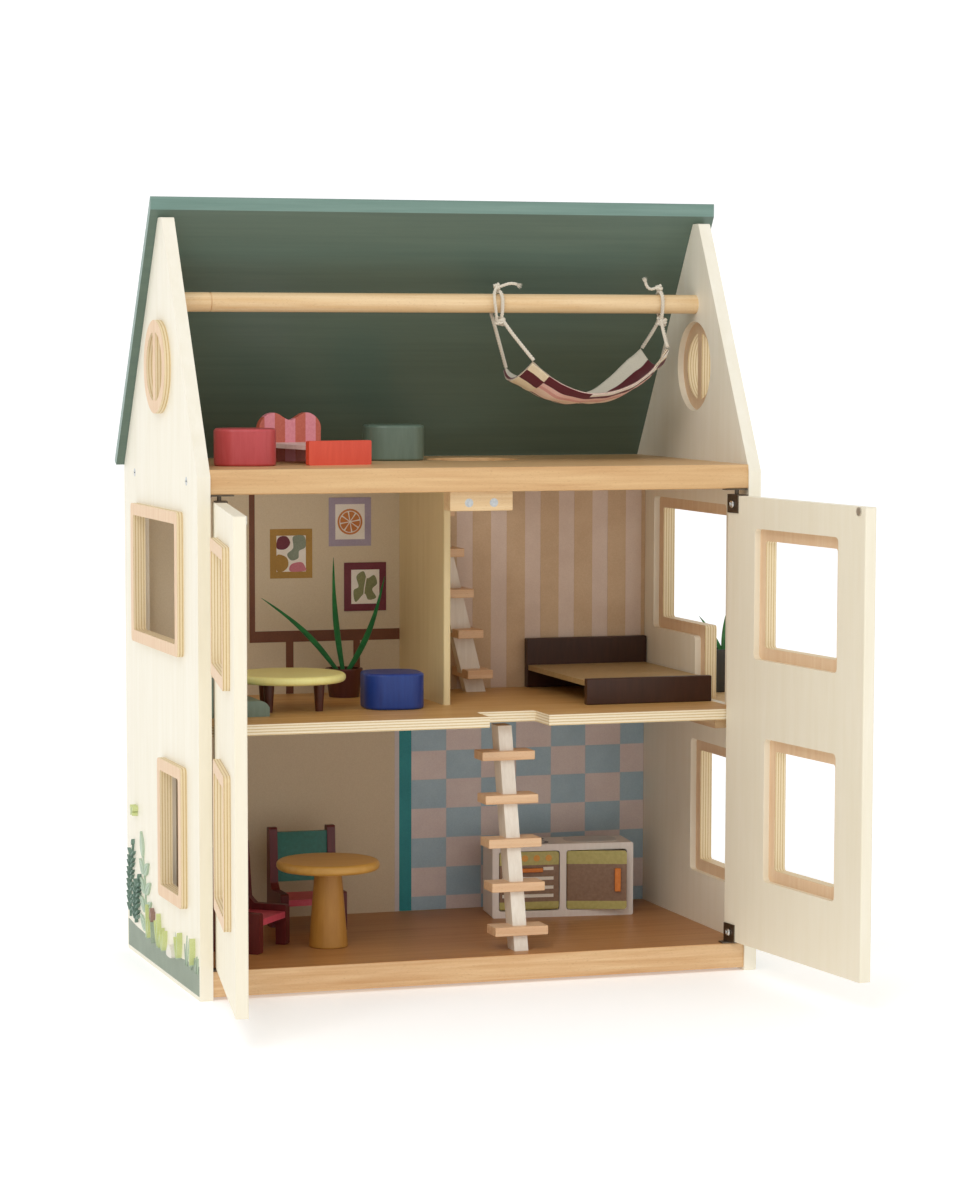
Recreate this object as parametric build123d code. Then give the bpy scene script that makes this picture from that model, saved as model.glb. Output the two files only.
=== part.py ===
from build123d import *
import math
import os

# Wooden dollhouse with two open front doors, a balcony on its right side, a
# hammock on a dowel under the half roof, and its loose furniture.
# Millimetres. X to the right, Y to the back, Z up. The origin is on the
# ground, at the middle of the footprint of the two side panels.

# ---------------------------------------------------------------- the house
house_width = 540.0
house_depth = 300.0
board = 12.0                # side panels
eave_height = 472.5
ridge_height = 705.0
ridge_y = -9.0              # the ridge is a little in front of the middle
ridge_flat = 14.0
corner_round = 3.0

ground_floor_under = 3.0    # the ground floor hangs clear of the table
ground_floor_top = 27.0
middle_floor_top = 248.0
middle_floor_board = 10.0
attic_floor_under = 456.0
attic_floor_top = 478.5
floor_set_back = 2.0        # front edges of the two thick floors
middle_set_back = 15.5      # the doors close in front of the middle floor
notch_left, notch_width, notch_depth = 9.0, 58.0, 41.0
hatch_x, hatch_y, hatch_d = 52.0, 50.0, 90.0

back_set_in = 28.0          # back panel's inside face to the side panels' back edges
back_board = 6.0
groove_depth = 4.0
groove_end_gap = 0.3

divider_board = 7.0
divider_left = -0.5
divider_depth = 145.0

roof_board = 7.5
roof_overhang = 8.0
roof_cut_y = -6.7

rod_d = 18.0
rod_z = 628.0
rod_socket = 6.0

# windows: hole edges in the side panels, as Y and Z spans
upper_hole = (-95.0, 97.0, 307.0, 438.5)
lower_hole = (-103.0, -8.0, 77.0, 206.5)
balcony_door_back_y = -17.0
round_hole_d, round_hole_z = 86.0, 568.5
frame_width = 11.0
frame_thick = 12.0
frame_proud = 6.0
hole_round = 5.0

balcony_out = 75.0
balcony_front_y, balcony_back_y = -110.0, 58.0
balcony_board = 10.0
balcony_tongue = 4.0
rail_board = 8.0
rail_height = 45.0

batten = 12.0
batten_front_y, batten_back_y = -100.0, 60.0
runner_width, runner_length = 40.0, 260.0

screw_d, screw_head_d, screw_length = 4.0, 8.0, 26.0
screw_head_thick = 2.2

# ---------------------------------------------------------------- the doors
door_thick = 11.0
door_set_back = 1.0
door_gap_low, door_gap_high = 2.6, 6.4          # to the two thick floors
door_pivot_in = 9.5         # pivot axis to the side panel's inside face
door_past_pivot = 6.5       # door wood on the hinge side of the axis
door_middle_gap = 1.5       # between the two doors when they are shut
door_open_left, door_open_right = 100.0, 96.0
door_upper_hole = (46.0, 200.0, 300.0, 421.0)   # from the pivot axis, and Z
door_lower_hole = (68.0, 200.0, 95.0, 228.0)
pin_d = 4.0
pin_length = 6.5
pin_clearance = 0.05
plate_thick = 1.2
leaf_long, leaf_high = 20.0, 16.0
strike_d, strike_down = 7.6, 4.1                # strike and magnet, below the doors' top
strike_in = 12.0            # strike and magnet, from the house's middle

magnet_block = (60.0, 19.0, 18.0)
magnet_d, magnet_length = 8.0, 10.0

# -------------------------------------------------------------- the hammock
rope_d = 3.4
rope_gap = 0.4              # rope to rod, and rope to cloth
rope_left_x, rope_right_x = 56.0, 222.0
hammock_ends = ((78.0, 567.0), (216.0, 582.0))   # cloth ends, X and Z
hammock_low = 534.0
hammock_width = 62.0
hammock_cloth = 1.2

here = "parts"
os.makedirs(here, exist_ok=True)


def box(x0, x1, y0, y1, z0, z1):
    return Pos((x0 + x1) / 2, (y0 + y1) / 2, (z0 + z1) / 2) * Box(x1 - x0, y1 - y0, z1 - z0)


def soft_box(x0, x1, y0, y1, z0, z1, r):
    """A box with every edge eased."""
    b = box(x0, x1, y0, y1, z0, z1)
    return fillet(b.edges(), r)


def save(name, *solids):
    """One STEP per piece; a group of alike pieces is one compound."""
    flat = []
    for s in solids:
        flat += list(s.solids())
    shape = flat[0] if len(flat) == 1 else Compound(children=flat)
    export_step(shape, os.path.join(here, name + ".step"))
    print(f"{name:28s} {len(flat):2d} {shape.volume/1000:9.2f} cm3")
    return shape


half = house_width / 2
inner_x = half - board
front_y, back_y = -house_depth / 2, house_depth / 2
back_inner_y = back_y - back_set_in
door_front_y = front_y + door_set_back
door_bottom, door_top = ground_floor_top + door_gap_low, attic_floor_under - door_gap_high
strike_z = door_top - strike_down
roof_slope = (ridge_height - eave_height) / (back_y - (ridge_y + ridge_flat / 2))


def profile(points, r):
    """A closed outline in the YZ plane, as a face, with its corners rounded."""
    face = Plane.YZ * make_face(Polyline(*[(y, z) for y, z in points], close=True))
    return fillet(face.vertices(), r) if r else face


def side_wall(x0):
    outline = profile([(front_y, 0), (back_y, 0), (back_y, eave_height),
                       (ridge_y + ridge_flat / 2, ridge_height),
                       (ridge_y - ridge_flat / 2, ridge_height),
                       (front_y, eave_height)], corner_round)
    return Pos(x0, 0, 0) * extrude(outline, board)


def yz_window(x0, x1, span, r):
    """A rounded rectangular prism along X, from a Y and Z span."""
    y0, y1, z0, z1 = span
    prism = box(x0, x1, y0, y1, z0, z1)
    return fillet(prism.edges().filter_by(Axis.X), r)


def x_rod(x0, x1, y, z, d):
    return Pos((x0 + x1) / 2, y, z) * (Rot(0, 90, 0) * Cylinder(d / 2, x1 - x0))


def balcony_prism(x0, x1, inset, r):
    """Window over doorway in one outline, joined at the doorway's head."""
    y0, y1, z0, z1 = upper_hole
    if inset:
        y0, y1, z0, z1 = y0 + inset, y1 - inset, z0 + inset, z1 - inset
    yd = balcony_door_back_y - inset
    low = middle_floor_top - (1 if inset else 0)
    outline = profile([(y0, low), (yd, low), (yd, z0), (y1, z0), (y1, z1), (y0, z1)], 0)
    prism = Pos(x0, 0, 0) * extrude(outline, x1 - x0)
    tall = [e for e in prism.edges().filter_by(Axis.X) if e.center().Z > low + 1]
    return fillet(tall, r)


# screws through each side panel into the two thick floors
screw_spots = [(y, z) for z in (15.0, 467.0) for y in (-108.0, 104.0)]


def screws(sign):
    out = []
    for y, z in screw_spots:
        head = x_rod(half - screw_head_thick, half, y, z, screw_head_d)
        shank = x_rod(half - screw_length, half - screw_head_thick, y, z, screw_d)
        s = head + shank
        s = s - box(half - 1.0, half + 1, y - 3, y + 3, z - 0.5, z + 0.5)
        out.append(s if sign > 0 else mirror(s, Plane.YZ))
    return out


def screw_holes(sign):
    out = []
    for y, z in screw_spots:
        h = (x_rod(half - screw_head_thick, half + 1, y, z, screw_head_d)
             + x_rod(half - screw_length, half - screw_head_thick, y, z, screw_d))
        out.append(h if sign > 0 else mirror(h, Plane.YZ))
    return out


# The back panel sits in grooves in both side panels and both thick floors.
groove = box(-inner_x - groove_depth, inner_x + groove_depth, back_inner_y, back_inner_y + back_board,
             ground_floor_top - groove_depth, attic_floor_under + groove_depth)

rod_hole = x_rod(-inner_x - rod_socket, inner_x + rod_socket, ridge_y - 1.0, rod_z, rod_d)
round_hole = x_rod(-half - 5, half + 5, ridge_y + 1.0, round_hole_z, round_hole_d)
holes = screw_holes(1) + screw_holes(-1)

deck_top = middle_floor_top
deck = box(half - balcony_tongue, half + balcony_out, balcony_front_y, balcony_back_y,
           deck_top - balcony_board, deck_top)

left_panel = side_wall(-half) - groove - rod_hole - round_hole
left_panel -= yz_window(-half - 1, -inner_x + 1, upper_hole, hole_round)
left_panel -= yz_window(-half - 1, -inner_x + 1, lower_hole, hole_round)
right_panel = side_wall(inner_x) - groove - rod_hole - round_hole
right_panel -= balcony_prism(inner_x - 1, half + 1, 0, hole_round)
right_panel -= yz_window(inner_x - 1, half + 1, lower_hole, hole_round)
right_panel -= deck
for h in holes:
    left_panel -= h
    right_panel -= h
save("side_panel_left", left_panel)
save("side_panel_right", right_panel)


# ------------------------------------------------------------------- floors
def thick_floor(z0, z1, y_back):
    b = box(-inner_x, inner_x, front_y + floor_set_back, y_back, z0, z1)
    long_front = [e for e in b.edges().filter_by(Axis.X) if e.center().Y < 0]
    b = fillet(long_front, 1.5)
    b -= groove
    for h in holes:
        b -= h
    return b


save("ground_floor", thick_floor(ground_floor_under, ground_floor_top, back_y))
attic_back_y = back_y - (attic_floor_top - eave_height) / roof_slope - 0.5
attic = thick_floor(attic_floor_under, attic_floor_top, attic_back_y)
attic -= Pos(hatch_x, hatch_y, attic_floor_top - 10) * Cylinder(hatch_d / 2, 60)
save("attic_floor", attic)

middle = box(-inner_x, inner_x, front_y + middle_set_back, back_inner_y,
             middle_floor_top - middle_floor_board, middle_floor_top)
notch_y = front_y + middle_set_back + notch_depth
notch = box(notch_left, notch_left + notch_width, front_y, notch_y,
            middle_floor_top - middle_floor_board - 5, middle_floor_top + 5)
notch = fillet([e for e in notch.edges().filter_by(Axis.Z) if e.center().Y > notch_y - 1], 4.0)
save("middle_floor", middle - notch)

gap = groove_end_gap
save("back_panel", box(-inner_x - groove_depth + gap, inner_x + groove_depth - gap,
                       back_inner_y, back_inner_y + back_board,
                       ground_floor_top - groove_depth + gap, attic_floor_under + groove_depth - gap))

divider = box(divider_left, divider_left + divider_board, back_inner_y - divider_depth, back_inner_y,
              middle_floor_top, attic_floor_under)
divider_front = back_inner_y - divider_depth
divider = fillet([e for e in divider.edges().filter_by(Axis.Z) if e.center().Y < divider_front + 1], 1.5)
save("room_divider", divider)

# battens carry the middle floor's ends, and a thin one the ground floor's middle
batten_z = middle_floor_top - middle_floor_board
save("floor_battens", *[box(min(a, b), max(a, b), batten_front_y, batten_back_y, batten_z - batten, batten_z)
                        for a, b in ((-inner_x, -inner_x + batten), (inner_x, inner_x - batten))],
     box(-runner_width / 2, runner_width / 2, -runner_length / 2, runner_length / 2, 0, ground_floor_under))


# --------------------------------------------------------------------- roof
def roof_line(y):
    return eave_height + (back_y - y) * roof_slope


rise = roof_board * math.hypot(1, roof_slope)
normal = (roof_slope / math.hypot(1, roof_slope), 1 / math.hypot(1, roof_slope))
roof_face = profile([(roof_cut_y, roof_line(roof_cut_y)), (back_y, eave_height),
                     (back_y + normal[0] * roof_board, eave_height + normal[1] * roof_board),
                     (roof_cut_y, roof_line(roof_cut_y) + rise)], 0.7)
save("roof_panel", Pos(-half - roof_overhang, 0, 0) * extrude(roof_face, house_width + 2 * roof_overhang))

# ---------------------------------------------------------------- round rod
rod = x_rod(-inner_x - rod_socket, inner_x + rod_socket, ridge_y - 1.0, rod_z, rod_d)
for x in (-inner_x + 34.5,):
    ring = x_rod(x - 0.6, x + 0.6, ridge_y - 1.0, rod_z, rod_d + 4) - x_rod(x - 2, x + 2, ridge_y - 1.0, rod_z, rod_d - 1.6)
    rod -= ring
save("hanging_rod", rod)

# ----------------------------------------------------------- window frames
frame_out = half + frame_proud
frame_in = frame_out - frame_thick


def shrink(span, d):
    return (span[0] + d, span[1] - d, span[2] + d, span[3] - d)


def window_frame(span):
    ring = yz_window(frame_in, frame_out, span, hole_round)
    ring -= yz_window(frame_in - 1, frame_out + 1, shrink(span, frame_width), 3.0)
    return ring


def flip(shape):
    return mirror(shape, Plane.YZ)


def round_frame():
    y = ridge_y + 1.0
    outer = x_rod(frame_in, frame_out, y, round_hole_z, round_hole_d)
    inner = x_rod(frame_in - 1, frame_out + 1, y, round_hole_z, round_hole_d - 2 * frame_width)
    bar = box(frame_in, frame_out, y - 5, y + 5, round_hole_z - round_hole_d / 2 + 3,
              round_hole_z + round_hole_d / 2 - 3)
    return outer - inner + bar


save("window_left_upper", flip(window_frame(upper_hole)))
low_frame = window_frame(lower_hole)
save("windows_lower", flip(low_frame), low_frame)
save("windows_round", flip(round_frame()), round_frame())
save("window_balcony_door", balcony_prism(frame_in, frame_out, 0, hole_round)
     - balcony_prism(frame_in - 1, frame_out + 1, frame_width, 3.0)
     - box(half - balcony_tongue, half + 20, balcony_front_y, balcony_back_y, 200, deck_top))

# ------------------------------------------------------------------ balcony
save("balcony_deck", deck)
rail_x = half + balcony_out - rail_board
rail = box(rail_x, rail_x + rail_board, balcony_front_y, balcony_back_y, deck_top, deck_top + rail_height)
rail = fillet([e for e in rail.edges().filter_by(Axis.X) if e.center().Z > deck_top + 10], 6.0)
save("balcony_railing", rail)

# ------------------------------------------------- screws, magnets, pivots
save("assembly_screws", *screws(1), *screws(-1))

block_w, block_d, block_h = magnet_block
block_front = door_front_y + door_thick + plate_thick + 0.8
block = box(-block_w / 2, block_w / 2, block_front, block_front + block_d,
            attic_floor_under - block_h, attic_floor_under)
block = fillet([e for e in block.edges() if e.center().Z < attic_floor_under - block_h + 0.1], 1.0)


def y_rod(x, y0, y1, z, d):
    return Pos(x, (y0 + y1) / 2, z) * (Rot(90, 0, 0) * Cylinder(d / 2, y1 - y0))


magnets = [y_rod(x, block_front, block_front + magnet_length, strike_z, magnet_d)
           for x in (-strike_in, strike_in)]
for m in magnets:
    block -= m
save("magnet_block", block)
save("catch_magnets", *magnets)

pivot_x = inner_x - door_pivot_in
pivot_y = door_front_y + door_thick / 2
plates = []
for s in (-1, 1):
    for z, up in ((ground_floor_top, 1), (attic_floor_under, -1)):
        plate_x = sorted((s * (pivot_x - 12.5), s * (inner_x - 0.5)))
        plate = Pos(0, pivot_y, z + up * plate_thick / 2) * box(*plate_x, -4.8, 4.8, -plate_thick / 2,
                                                                plate_thick / 2)
        pin = Pos(s * pivot_x, pivot_y, z + up * (plate_thick + pin_length / 2)) * Cylinder(pin_d / 2, pin_length)
        plates.append(plate + pin)
save("pivot_plates", *plates)


# -------------------------------------------------------------------- doors
def door(side, opened):
    """The right door (side 1) or its mirror image (side -1), swung open."""
    free = pivot_x - door_middle_gap / 2
    back = door_front_y + door_thick

    def span_x(a, b):           # distances from the pivot, towards the middle
        return pivot_x - b, pivot_x - a

    panel = box(*span_x(-door_past_pivot, free), door_front_y, back, door_bottom, door_top)
    panel = fillet([e for e in panel.edges() if abs(e.center().X - (pivot_x - free)) < 0.1], 1.5)
    frames = []
    for a, b, z0, z1 in (door_upper_hole, door_lower_hole):
        x0, x1 = span_x(a, b)
        hole = box(x0, x1, door_front_y - 1, back + 1, z0, z1)
        panel -= fillet(hole.edges().filter_by(Axis.Y), hole_round)
        y0, y1 = door_front_y - frame_proud, back - frame_proud
        ring = box(x0, x1, y0, y1, z0, z1)
        ring = fillet(ring.edges().filter_by(Axis.Y), hole_round)
        cut = box(x0 + frame_width, x1 - frame_width, y0 - 1, y1 + 1, z0 + frame_width, z1 - frame_width)
        ring -= fillet(cut.edges().filter_by(Axis.Y), 3.0)
        frames.append(ring)
    hardware = []
    for z, up in ((door_bottom, -1), (door_top, 1)):
        panel -= Pos(pivot_x, pivot_y, z - up * 3.5) * Cylinder(pin_d / 2 + 0.5, 7.2)
        edge = door_past_pivot - 0.6
        x0, x1 = span_x(-edge, leaf_long - edge)
        flat = box(x0, x1, door_front_y + 1, back + plate_thick, min(z, z + up * plate_thick),
                   max(z, z + up * plate_thick))
        leaf = box(x0, x1, back, back + plate_thick, min(z, z - up * leaf_high), max(z, z - up * leaf_high))
        bracket = flat + leaf - Pos(pivot_x, pivot_y, z) * Cylinder(pin_d / 2 + pin_clearance, 10)
        xs, zs = (x0 + x1) / 2, z - up * leaf_high / 2
        bracket -= y_rod(xs, back - 1, back + plate_thick + 1, zs, 3.0)
        screw = y_rod(xs, back - 6, back + plate_thick, zs, 3.0) + y_rod(
            xs, back + plate_thick, back + plate_thick + 0.8, zs, 6.5)
        panel -= y_rod(xs, back - 6, back + 1, zs, 3.0)
        hardware += [bracket, screw]
    xs = strike_in
    panel -= y_rod(xs, back - 4, back + 1, strike_z, 2.4)
    hardware.append(y_rod(xs, back - 4, back, strike_z, 2.4) + y_rod(xs, back, back + plate_thick, strike_z, strike_d))

    def place(s):
        s = Pos(pivot_x, pivot_y, 0) * (Rot(0, 0, opened) * (Pos(-pivot_x, -pivot_y, 0) * s))
        return s if side > 0 else flip(s)

    name = "door_right" if side > 0 else "door_left"
    save(name, place(panel))
    save(name + "_window_upper", place(frames[0]))
    save(name + "_window_lower", place(frames[1]))
    save(name + "_hardware", *[place(h) for h in hardware])


door(-1, door_open_left)
door(1, door_open_right)

# ------------------------------------------------------------------ hammock
# The cloth hangs in a shallow curve between its two hems.
(xa, za), (xb, zb) = hammock_ends
rod_y = ridge_y - 1.0


def parabola(n):
    """Points from hem to hem through the lowest point, at mid span."""
    out = []
    for i in range(n + 1):
        t = i / n
        sag = (za + zb) / 2 - hammock_low
        out.append((xa + (xb - xa) * t, za + (zb - za) * t - 4 * sag * t * (1 - t)))
    return out


curve_pts = parabola(6)
upper = Plane.XZ * Spline(*curve_pts)
lower = Plane.XZ * Spline(*[(x, z - hammock_cloth) for x, z in curve_pts])
ends = [Line(upper @ 0, lower @ 0), Line(upper @ 1, lower @ 1)]
cloth = extrude(make_face([upper, lower] + ends), hammock_width / 2, both=True)
save("hammock_cloth", Pos(0, rod_y, 0) * cloth)


def rope(name, x, hem_x, hem_z):
    """From the front hem corner up, once round the rod, and down to the rear corner."""
    r = rod_d / 2 + rope_gap + rope_d / 2
    side = (rope_d + 0.6) / 2 * (1 if hem_x > x else -1)
    hem_y = hammock_width / 2 - 4.0
    top = hem_z + rope_d / 2 + rope_gap
    z = rod_z
    route = [(hem_x, rod_y - hem_y, top), (x + side, rod_y - 5.0, z - r - 4.0), (x + side, rod_y - r, z - r + 3.0),
             (x + side, rod_y - r, z + r), (x, rod_y + r, z + r), (x - side, rod_y + r, z - r + 3.0),
             (x - side, rod_y + 5.0, z - r - 4.0), (hem_x, rod_y + hem_y, top)]
    radii = []
    for a, b, c in zip(route, route[1:], route[2:]):
        u, v = Vector(*b) - Vector(*a), Vector(*c) - Vector(*b)
        turn = math.radians(u.get_angle(v))
        radii.append(0.45 * min(u.length, v.length) / math.tan(turn / 2))
    print(name, "radii", [round(q, 1) for q in radii])
    line = FilletPolyline(*route, radius=radii)
    tube = sweep(Plane(origin=line @ 0, z_dir=line % 0) * Circle(rope_d / 2), path=line)
    print(name, "length", round(line.length, 1), "tube/section", round(tube.volume / (math.pi * rope_d**2 / 4), 1))
    save(name, tube)


rope("hammock_rope_left", rope_left_x, xa + 3.0, za)
rope("hammock_rope_right", rope_right_x, xb - 3.0, zb)


# ---------------------------------------------------------------- furniture
def put(shape, x, y, z, turn=0.0):
    return Pos(x, y, z) * (Rot(0, 0, turn) * shape)


pouf_size, pouf_high, pouf_round = 57.0, 34.0, 20.0


def pouf():
    body = extrude(RectangleRounded(pouf_size, pouf_size, pouf_round), pouf_high)
    return fillet(body.edges().group_by(Axis.Z)[0] + body.edges().group_by(Axis.Z)[-1], 2.5)


save("pouf_pink", put(pouf(), -201.0, -51.0, attic_floor_top, -15))
save("pouf_green", put(pouf(), -29.0, 48.0, attic_floor_top, -10))
save("pouf_blue", put(pouf(), -53.0, -27.0, middle_floor_top, -6))

# Child's bed: a wavy headboard, a slatless base and a plain footboard.
cot_width, cot_length, cot_board = 64.0, 116.0, 7.0
cot_head_high, cot_dip, cot_foot_high = 46.0, 39.0, 22.5
cot_base_top, cot_base_thick = 18.0, 4.0
cot_at = (-124.0, -8.0)
cot_turn = 10.0


def cot_head():
    w = cot_width / 2
    top = Spline((-w, cot_head_high * 0.62), (-w * 0.86, cot_head_high * 0.9), (-w / 2, cot_head_high),
                 (0, cot_dip), (w / 2, cot_head_high), (w * 0.86, cot_head_high * 0.9),
                 (w, cot_head_high * 0.62))
    rim = Polyline((w, cot_head_high * 0.62), (w, 0), (-w, 0), (-w, cot_head_high * 0.62))
    face = Plane.XZ * make_face([top, rim])
    return extrude(face, cot_board / 2, both=True)


head_y = cot_length / 2 - cot_board / 2
cot_foot = box(-cot_width / 2, cot_width / 2, -cot_length / 2, -cot_length / 2 + cot_board, 0, cot_foot_high)
cot_foot = fillet(cot_foot.edges().filter_by(Axis.Y), 1.5)
cot_base = box(-cot_width / 2 + 1, cot_width / 2 - 1, -cot_length / 2 + cot_board, cot_length / 2 - cot_board,
               cot_base_top - cot_base_thick, cot_base_top)
save("child_bed_headboard", put(Pos(0, head_y, 0) * cot_head(), *cot_at, attic_floor_top, cot_turn))
save("child_bed_base", put(cot_base, *cot_at, attic_floor_top, cot_turn))
save("child_bed_footboard", put(cot_foot, *cot_at, attic_floor_top, cot_turn))

# Low round coffee table on three tapered legs.
coffee_d, coffee_thick, coffee_high = 106.0, 8.0, 35.0
coffee_at = (-151.0, -19.0)
coffee_legs = ((23.0, -21.0), (-25.0, -19.0), (-14.0, 41.0))
coffee_top = Pos(0, 0, coffee_high - coffee_thick / 2) * Cylinder(coffee_d / 2, coffee_thick)
coffee_top = fillet(coffee_top.edges(), 3.6)
leg_h = coffee_high - coffee_thick
coffee_leg = Pos(0, 0, leg_h / 2) * Cone(3.6, 5.4, leg_h)
save("coffee_table_top", put(coffee_top, *coffee_at, middle_floor_top))
save("coffee_table_legs", *[put(Pos(x, y, 0) * coffee_leg, *coffee_at, middle_floor_top)
                            for x, y in coffee_legs])

# Potted plant: tapered pot, blades bending outwards.
pot_at = (-69.0, back_inner_y - 40.0)
pot_top_d, pot_bottom_d, pot_high, pot_wall = 37.0, 29.0, 28.0, 3.5
pot = Pos(0, 0, pot_high / 2) * Cone(pot_bottom_d / 2, pot_top_d / 2, pot_high)
pot = fillet(pot.edges().group_by(Axis.Z)[-1], 1.0)
pot -= Pos(0, 0, pot_high - 4) * Cylinder(pot_top_d / 2 - pot_wall, 8.2)
soil = Pos(0, 0, pot_high - 6) * Cylinder(pot_top_d / 2 - pot_wall, 4)
save("plant_pot", put(pot, *pot_at, middle_floor_top))


def blade(reach, tall, width, turn, lean):
    """A flat tapering leaf that bends outwards as it rises."""
    foot = 1.5 * lean
    left = Spline((foot - width * 0.25, 0), (foot + reach * 0.30 - width / 2, tall * 0.48), (reach, tall))
    right = Spline((foot + width * 0.25, 0), (foot + reach * 0.36 + width / 2, tall * 0.45), (reach, tall))
    face = Plane.XZ * make_face([left, right, Line((foot - width * 0.25, 0), (foot + width * 0.25, 0))])
    return Rot(0, 0, turn) * (Pos(0, 0, pot_high - 8) * extrude(face, 1.1, both=True))


blades = [blade(-80, 76, 9, 0, -3), blade(-12, 114, 9, 22, 0), blade(42, 96, 9, -12, 3)]
leaves = blades[0] + blades[1] + blades[2] + soil
save("plant_leaves", put(leaves, *pot_at, middle_floor_top))

# Solid wedge lounge with a rolled back, swept seat and low front end.
lounge_x0, lounge_x1, lounge_y0, lounge_y1 = -inner_x + 6.0, -inner_x + 74.0, -72.0, -22.0
lounge_pts = [(lounge_x0 + 3, 37.0), (lounge_x0 + 12, 38.0), (lounge_x0 + 26, 26.0), (lounge_x0 + 48, 14.5),
              (lounge_x1 - 5, 13.5), (lounge_x1, 8.0)]
lounge_top = Spline(*lounge_pts)
lounge_rim = Polyline((lounge_x1, 8.0), (lounge_x1, 0), (lounge_x0, 0), (lounge_x0, 33.0), (lounge_x0 + 3, 37.0))
lounge = extrude(Plane.XZ * make_face([lounge_top, lounge_rim]), (lounge_y1 - lounge_y0) / 2, both=True)
save("lounge_seat", Pos(0, (lounge_y0 + lounge_y1) / 2, middle_floor_top) * lounge)

# Double bed against the right wall.
bed_wide, bed_long, bed_gap = 127.5, 185.0, 1.0     # it stands 1 mm clear of both walls
bed_x1, bed_head_y = inner_x - bed_gap, back_inner_y - bed_gap
bed_x0, bed_foot_y = bed_x1 - bed_wide, bed_head_y - bed_long
bed_board, bed_head_high, bed_foot_high = 8.0, 49.0, 25.0
bed_base_top, bed_base_thick = 22.5, 5.0
z = middle_floor_top
save("double_bed_headboard", soft_box(bed_x0, bed_x1, bed_head_y - bed_board, bed_head_y, z, z + bed_head_high, 1.0))
save("double_bed_footboard", soft_box(bed_x0, bed_x1, bed_foot_y, bed_foot_y + bed_board, z, z + bed_foot_high, 1.0))
save("double_bed_base", box(bed_x0 + 1.5, bed_x1 - 1.5, bed_foot_y + bed_board, bed_head_y - bed_board,
                            z + bed_base_top - bed_base_thick, z + bed_base_top))

# Square planter on the balcony, with three short blades.
planter_x0, planter_size, planter_y0, planter_high = half + 21.0, 30.0, 13.0, 42.0
planter = soft_box(planter_x0, planter_x0 + planter_size, planter_y0, planter_y0 + planter_size,
                   deck_top, deck_top + planter_high, 0.8)
planter -= box(planter_x0 + 3, planter_x0 + planter_size - 3, planter_y0 + 3, planter_y0 + planter_size - 3,
               deck_top + planter_high - 8, deck_top + planter_high + 1)
save("balcony_planter", planter)


def short_blade(reach, tall, turn):
    s = Spline((-2, 0), (reach * 0.35 - 4, tall * 0.5), (reach, tall))
    t = Spline((2, 0), (reach * 0.45 + 4, tall * 0.45), (reach, tall))
    face = Plane.XZ * make_face([s, t, Line((-2, 0), (2, 0))])
    return Rot(0, 0, turn) * extrude(face, 1.0, both=True)


bush = short_blade(-26, 40, 0) + short_blade(8, 48, 30) + short_blade(24, 34, -20)
bush += box(-12, 12, -12, 12, -0.5, 1.5)
save("balcony_planter_leaves", Pos(planter_x0 + planter_size / 2, planter_y0 + planter_size / 2,
                                   deck_top + planter_high - 7.5) * bush)

# --------------------------------------------------- ladders with one spine
ladder_gap_low, ladder_gap_high, ladder_lean = 5.0, 2.0, 51.0    # gaps to the floors above
spine_wide, spine_deep = 13.5, 20.0
tread_long, tread_deep, tread_thick = 52.0, 26.0, 8.5
tread_first, tread_from_top, tread_count = 14.5, 31.5, 5


def ladder(ladder_high):
    """Facing -Y, foot at the origin, leaning back along +Y; treads are let into the spine."""
    tread_step = (ladder_high - tread_first - tread_from_top) / (tread_count - 1)
    side = profile([(0, 0), (spine_deep, 0), (spine_deep + ladder_lean, ladder_high),
                    (ladder_lean, ladder_high)], 0)
    spine = Pos(-spine_wide / 2, 0, 0) * extrude(side, spine_wide)
    treads = []
    for i in range(tread_count):
        z = tread_first + i * tread_step
        y = ladder_lean * z / ladder_high - 5.0
        t = soft_box(-tread_long / 2, tread_long / 2, y, y + tread_deep, z, z + tread_thick, 0.8)
        treads.append(t)
    for t in treads:
        spine -= t
    pieces = sorted(spine.solids(), key=lambda s: s.center().Z)
    return pieces, treads


pieces, treads = ladder(middle_floor_top - middle_floor_board - ground_floor_top - ladder_gap_low)
low = dict(x=notch_left + notch_width / 2 + 4.0, y=front_y + 20.0, z=ground_floor_top)
save("ladder_lower_spine", *[put(p, **low) for p in pieces])
save("ladder_lower_treads", *[put(t, **low) for t in treads])
pieces, treads = ladder(attic_floor_under - middle_floor_top - ladder_gap_high)
high = dict(x=divider_left + divider_board + 0.6 + ladder_lean + spine_deep,
            y=back_inner_y - 20.0 - spine_wide / 2, z=middle_floor_top, turn=90)
save("ladder_upper_spine", *[put(p, **high) for p in pieces])
save("ladder_upper_treads", *[put(t, **high) for t in treads])

# ------------------------------------------------------------------- chairs
chair_wide, chair_deep, chair_high = 66.0, 52.0, 97.0
chair_side, chair_arm_high, chair_post = 8.0, 38.0, 13.0
seat_top, seat_thick = 32.0, 6.0
rest_low, rest_high, rest_thick = 44.0, 92.0, 6.0


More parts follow.
